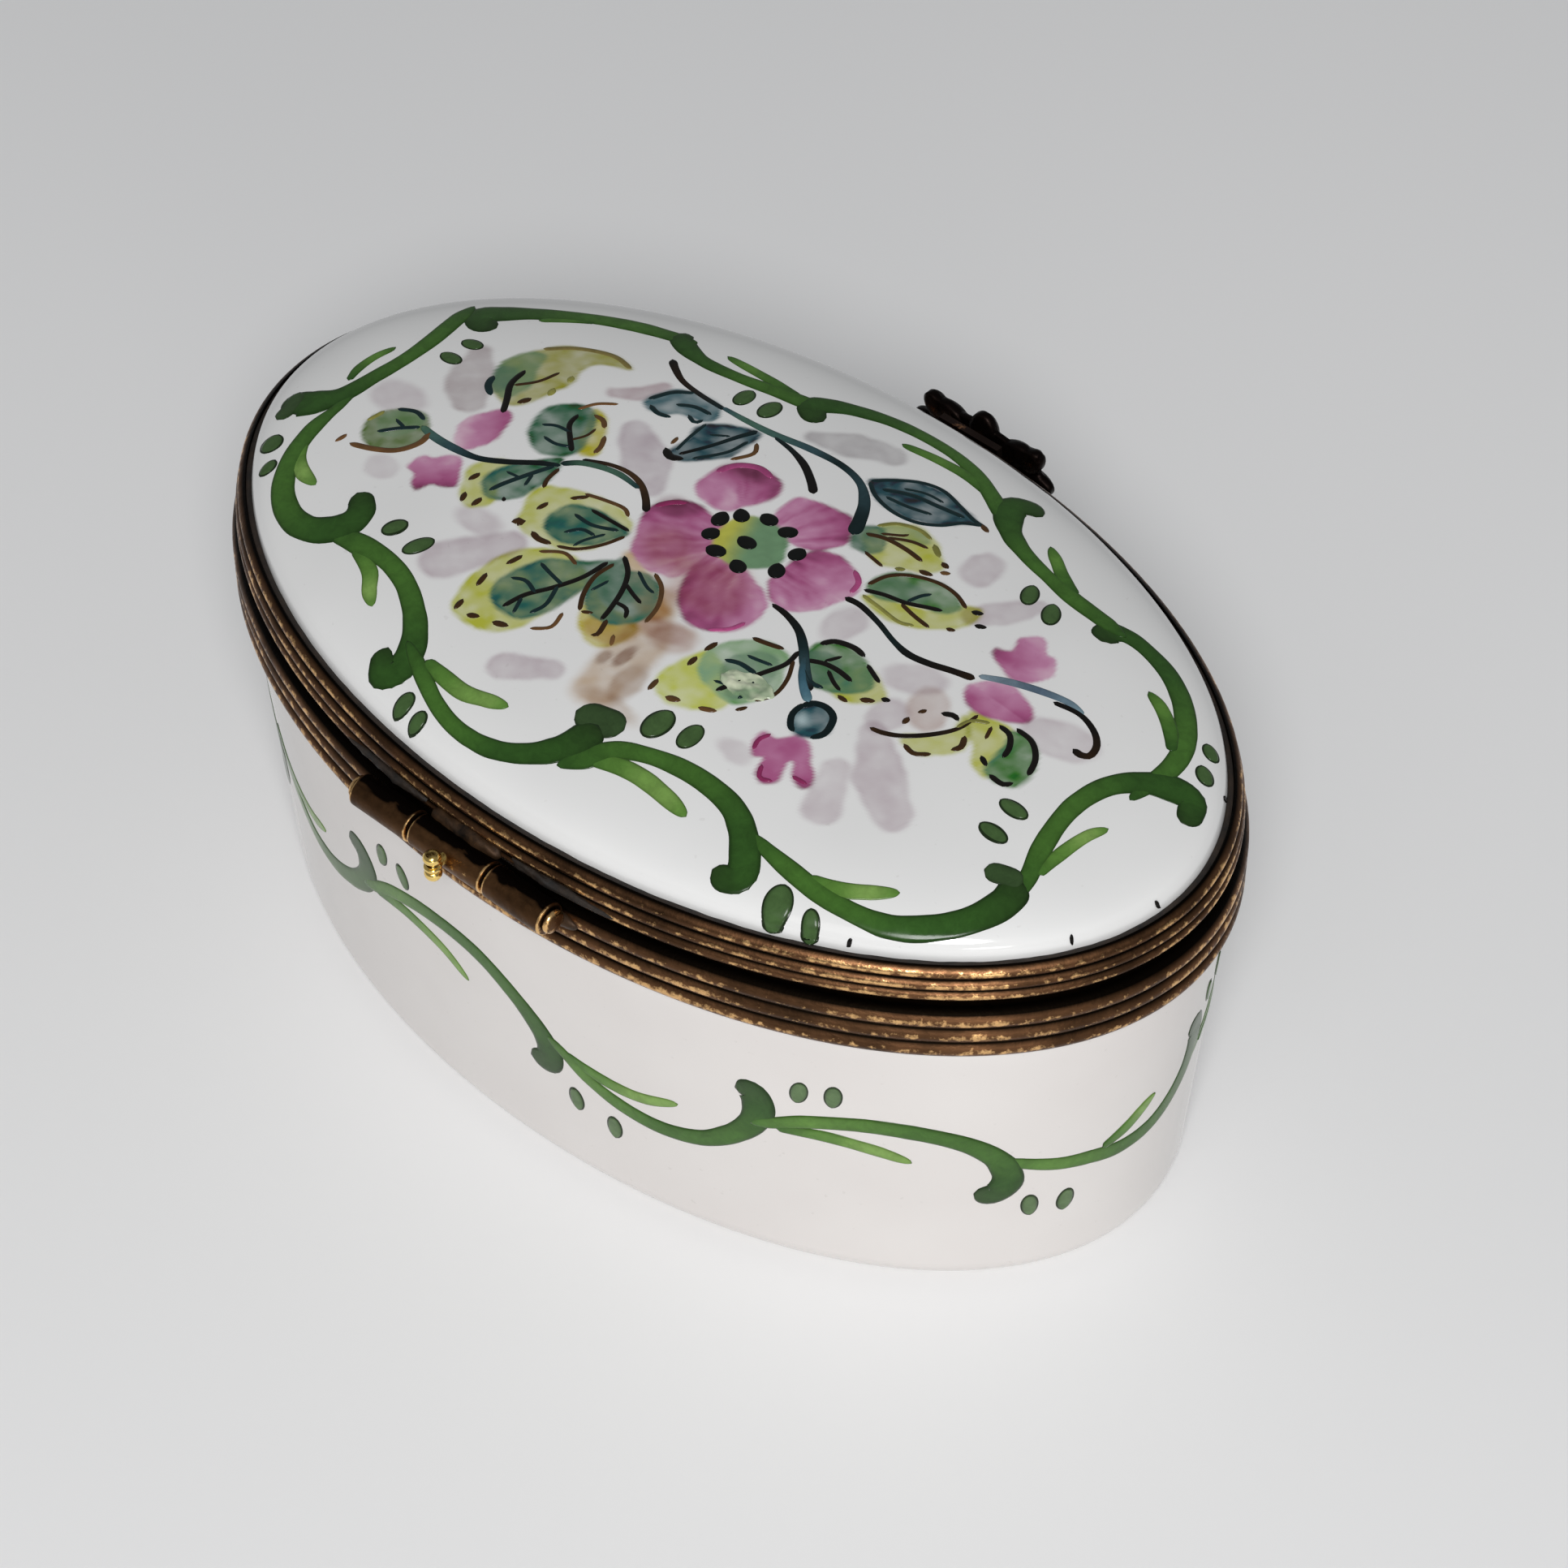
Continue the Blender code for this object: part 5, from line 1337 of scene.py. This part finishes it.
def build_lid():
    """Lid porcelain: a fine painted top, a rounded shoulder and a hollow underside."""
    nx, ny = 344, 208
    edge_z = JOINT_Z - 0.4
    hollow_reach, hollow_depth = (HALF_X - 3.2) / PLATE_X, 1.1
    along, across = np.linspace(-1, 1, nx + 1), np.linspace(-1, 1, ny + 1)
    # The grid is finer towards the middle, where most of the painting is.
    u, v = np.meshgrid(0.86 * along + 0.14 * along ** 5, 0.86 * across + 0.14 * across ** 5, indexing="ij")
    x = PLATE_X * u * np.sqrt(1 - v * v / 2)
    y = PLATE_Y * v * np.sqrt(1 - u * u / 2)
    k = np.clip(np.hypot(x / PLATE_X, y / PLATE_Y), 0, 1)
    z = JOINT_Z + DOME_RISE * np.clip(1 - k ** DOME_POWER, 0, 1) ** (1 / DOME_POWER)
    top = np.stack([x, y, z], -1).reshape(-1, 3)
    index = np.arange((nx + 1) * (ny + 1)).reshape(nx + 1, ny + 1)
    corners = np.stack([index[:-1, :-1], index[1:, :-1], index[1:, 1:], index[:-1, 1:]], -1)
    faces = corners.reshape(-1, 4).tolist()
    rim = np.concatenate([index[:-1, 0], index[-1, :-1], index[:0:-1, -1], index[0, :0:-1]])
    rings = [(1.0, edge_z), (0.97, edge_z)]
    rings += [(part * hollow_reach, edge_z + hollow_depth * (1 - part ** 2))
              for part in (1, 0.97, 0.9, 0.8, 0.65, 0.5, 0.35, 0.2, 0.08)]
    verts, before, total, count = [top], rim, len(top), len(rim)
    for part, height in rings:
        ring = top[rim] * part
        ring[:, 2] = height
        verts.append(ring)
        now = total + np.arange(count)
        faces += np.stack([before, now, np.roll(now, -1), np.roll(before, -1)], -1).tolist()
        before, total = now, total + count
    faces.append(before.tolist())
    verts = np.vstack(verts)
    colours = np.ones((total, 3))
    colours[:len(top)] = lid_colours(top[:, 0], top[:, 1])
    obj = new_mesh("lid_porcelain", verts, faces, LID_GLAZE, colours=colours, sharp=50)
    # A flat map for the painted top, and a smaller one below it for the hidden side.
    loops = np.empty(len(obj.data.loops), np.int32)
    obj.data.loops.foreach_get("vertex_index", loops)
    sides = np.empty(len(obj.data.polygons), np.int32)
    obj.data.polygons.foreach_get("loop_total", sides)
    painted = np.repeat(np.arange(len(sides)) < nx * ny, sides)[:, None]
    flat = verts[loops, :2] * 0.97 / (2 * PLATE_X)
    hidden = flat * (-0.6, 0.6) + (0.5, 0.19)
    uv_layer(obj, "OFBake", np.where(painted, flat + (0.5, 0.69), hidden))
    place(obj, "lid", "porcelain", "lid_plate")


# --- vine on the wall --------------------------------------------------------
WALL_UNITS = [  # main stroke and side stroke, as (degrees round, height)
    ([(47, 11), (51, 9.6), (56, 8.6), (60, 8.5), (63.2, 8.8), (67.2, 9.7), (70, 10.9), (71, 12.2),
     (70, 13.2), (68, 13.2)], [(47, 11), (52, 10.2), (57, 10.1), (61, 10.6)]),
    ([(72, 11.2), (76, 12.4), (80.8, 13.2), (85.6, 13.4), (89.6, 13), (93.4, 11.8), (96.2, 10.4),
     (97.6, 9.1), (97.2, 8), (95, 7.75)], [(72, 11), (77.6, 11.7), (83.2, 11.4), (87, 10.3)]),
    ([(99.6, 9.4), (102.4, 8.4), (106.4, 7.6), (111.2, 7.3), (116, 7.8), (119.6, 9), (122, 10.4),
     (122.8, 11.8), (122, 12.9), (120.2, 12.9)], [(99.8, 9.5), (104, 9), (108.8, 9), (113.4, 9.8)]),
    ([(124.4, 10.9), (128.8, 11.7), (135.2, 12.2), (141.6, 12), (147.2, 11.3), (151.2, 10.2), (153.2, 9),
     (153.4, 7.9), (151.6, 7.2), (149, 7.3)], [(124.8, 10.6), (130.4, 10.8), (136, 10.4), (140.8, 9.7)]),
    ([(155.2, 9.4), (160.8, 8.8), (166.4, 8.5), (172, 8.2), (178.4, 8.4), (183.6, 9.2), (187.6, 10.4),
     (189.4, 11.9), (188.6, 13), (186.2, 13.1)], [(168.4, 8.9), (172.6, 9.6), (176, 10.4),
     (178.4, 10.9)]),
]
WALL_DOTS = [  # degrees round, height, angle
    (74.8, 14.7, 78), (78.2, 14.5, 100), (100.6, 6.2, 95), (105.3, 5.5, 90), (127.4, 13.8, 80),
    (131.3, 14, 85), (157.2, 5.9, 95), (162.9, 5.7, 85),
]
VINE_MIDDLE, VINE_UNITS = 10.35, 7
# The units carried on round the front, as (part of the unit's length, height).
SWEEP = [(0, 10.9), (.14, 11.9), (.3, 12.8), (.47, 13.1), (.64, 12.7), (.8, 11.6), (.9, 10.3), (.95, 9),
         (.93, 7.9), (.84, 7.5)]
SWEEP_SIDE = [(.02, .5), (.2, 1.1), (.38, .9), (.54, .1)]


def build_vine():
    paint = Enamel("base_vine_enamel", wall_skin, "base", "porcelain", ENAMEL)
    widths = [0.6, 0.85, 1.0, 1.1, 1.15, 1.2, 1.3, 1.5, 1.75, 1.7, 1.5]

    def unit(main, side):
        paint.stroke(side, [0.6, 0.9, 0.85, 0.6], [LEAF, FRESH, LIGHT, LIGHT], 0.7, tips=(1, 2.6))
        paint.stroke(run_in(main, 1.2), widths, [LEAF, FRESH, LEAF, LEAF, DEEP, HEAD], 0.8, tips=(2.2, 1))

    def dot(arc, z, length, width, angle):
        paint.dot(arc, z, length, width, angle, PALE_DOT, 0.5, rim=DOT_RIM)
    for main, side in WALL_UNITS:
        unit([(arc_of(a), z) for a, z in main], [(arc_of(a), z) for a, z in side])
    for a, z, angle in WALL_DOTS:
        dot(arc_of(a), z, 1.5, 0.8, angle)
    # The same vine round the front, as alternate high and low sweeps.
    start, end = arc_of(191), arc_of(360 + 46)
    length = (end - start) / VINE_UNITS
    for i in range(VINE_UNITS):
        flip = 1 if i % 2 == 0 else -1
        lean = 0.2 * math.sin(2.3 * i)
        origin = start + i * length
        unit([(origin + p * length, VINE_MIDDLE + flip * (z - VINE_MIDDLE) + lean) for p, z in SWEEP],
             [(origin + p * length, VINE_MIDDLE + lean + flip * h) for p, h in SWEEP_SIDE])
        for p in (0.06, 0.2):
            z = VINE_MIDDLE + flip * (3.6 + 0.2 * math.sin(i + 9 * p))
            dot(origin + p * length, z, 1.45, 0.78, 90 + 10 * math.sin(5 * i + 20 * p))
    paint.finish()


# --- stage, in metres --------------------------------------------------------
AIM = Vector((0, 0, 0.012))


def area_light(name, direction, distance, size, power, colour=(1, 1, 1)):
    light = bpy.data.lights.new(name, "AREA")
    light.shape, light.size, light.energy, light.color = "DISK", size, power, colour
    obj = bpy.data.objects.new(name, light)
    obj.location = Vector(direction).normalized() * distance + AIM
    obj.rotation_euler = (obj.location - AIM).to_track_quat("Z", "Y").to_euler()
    bpy.context.scene.collection.objects.link(obj)


def build_floor():
    m = Nodes("pale_floor")
    m.base(m.ramp(m.noise(6, 2), (0.3, (0.86, 0.86, 0.86)), (0.7, (0.88, 0.88, 0.88))))
    m.set(Roughness=0.7)
    half, z = 1500.0, -0.05
    corners = [(-half, -half, z), (half, -half, z), (half, half, z), (-half, half, z)]
    new_mesh("floor", corners, [(0, 1, 2, 3)], m.material, sharp=None)


def build_lights():
    world = bpy.data.worlds.new("studio")
    world.use_nodes = True
    background = world.node_tree.nodes["Background"]
    background.inputs["Color"].default_value = (0.95, 0.97, 1.0, 1)
    background.inputs["Strength"].default_value = 0.235
    bpy.context.scene.world = world
    area_light("key", (-0.47, 0.52, 0.70), 0.50, 0.16, 1.72)
    area_light("camera_fill", (-0.35, 0.75, 0.70), 0.5, 0.25, 0.14, (1.0, 0.97, 0.95))
    area_light("low_side", (-0.80, 0.62, 0.20), 0.42, 0.10, 0.12, (1.0, 0.95, 0.92))


def build_camera():
    camera = bpy.data.cameras.new("camera")
    camera.sensor_fit, camera.sensor_width, camera.lens = "HORIZONTAL", 36.0, 106.6
    camera.clip_start, camera.clip_end = 0.005, 10.0
    obj = bpy.data.objects.new("camera", camera)
    eye, target = Vector((-0.1085, 0.1158, 0.1785)), Vector((0.0042, -0.0089, 0.0021))
    obj.location = eye
    obj.rotation_euler = (target - eye).to_track_quat("-Z", "Y").to_euler()
    bpy.context.scene.collection.objects.link(obj)
    bpy.context.scene.camera = obj
    bpy.context.scene.view_settings.view_transform = "Standard"


def dress_cad(node, material, wear=0.4):
    """A CAD node that stays gets a finished material and its wear value."""
    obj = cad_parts[node]
    layer = obj.data.attributes.new("wear", "FLOAT", "POINT")
    layer.data.foreach_set("value", [wear] * len(obj.data.vertices))
    obj.data.materials.clear()
    obj.data.materials.append(material)


build_floor()
build_lights()
build_camera()
build_cup()
build_collars()
build_lid()
build_scrolls()
build_flowers()
build_flake()
build_vine()
build_hinge()
build_solder()
build_clasp()
fill_ring("lid_joint_grime", 0.66, 0.93, 23.45, JOINT_Z - 0.02, "lid")
fill_ring("base_joint_grime", 0.5, 0.72, WALL_TOP + 0.02, BAND_LOW[2] + 0.3, "base")
dress_cad("base_cement", PLASTER)
dress_cad("lid_cement", PLASTER)
dress_cad("clasp_tongue", CLASP_BLACK, 0.3)
dress_cad("catch_stud", HINGE_BRASS, 0.8)
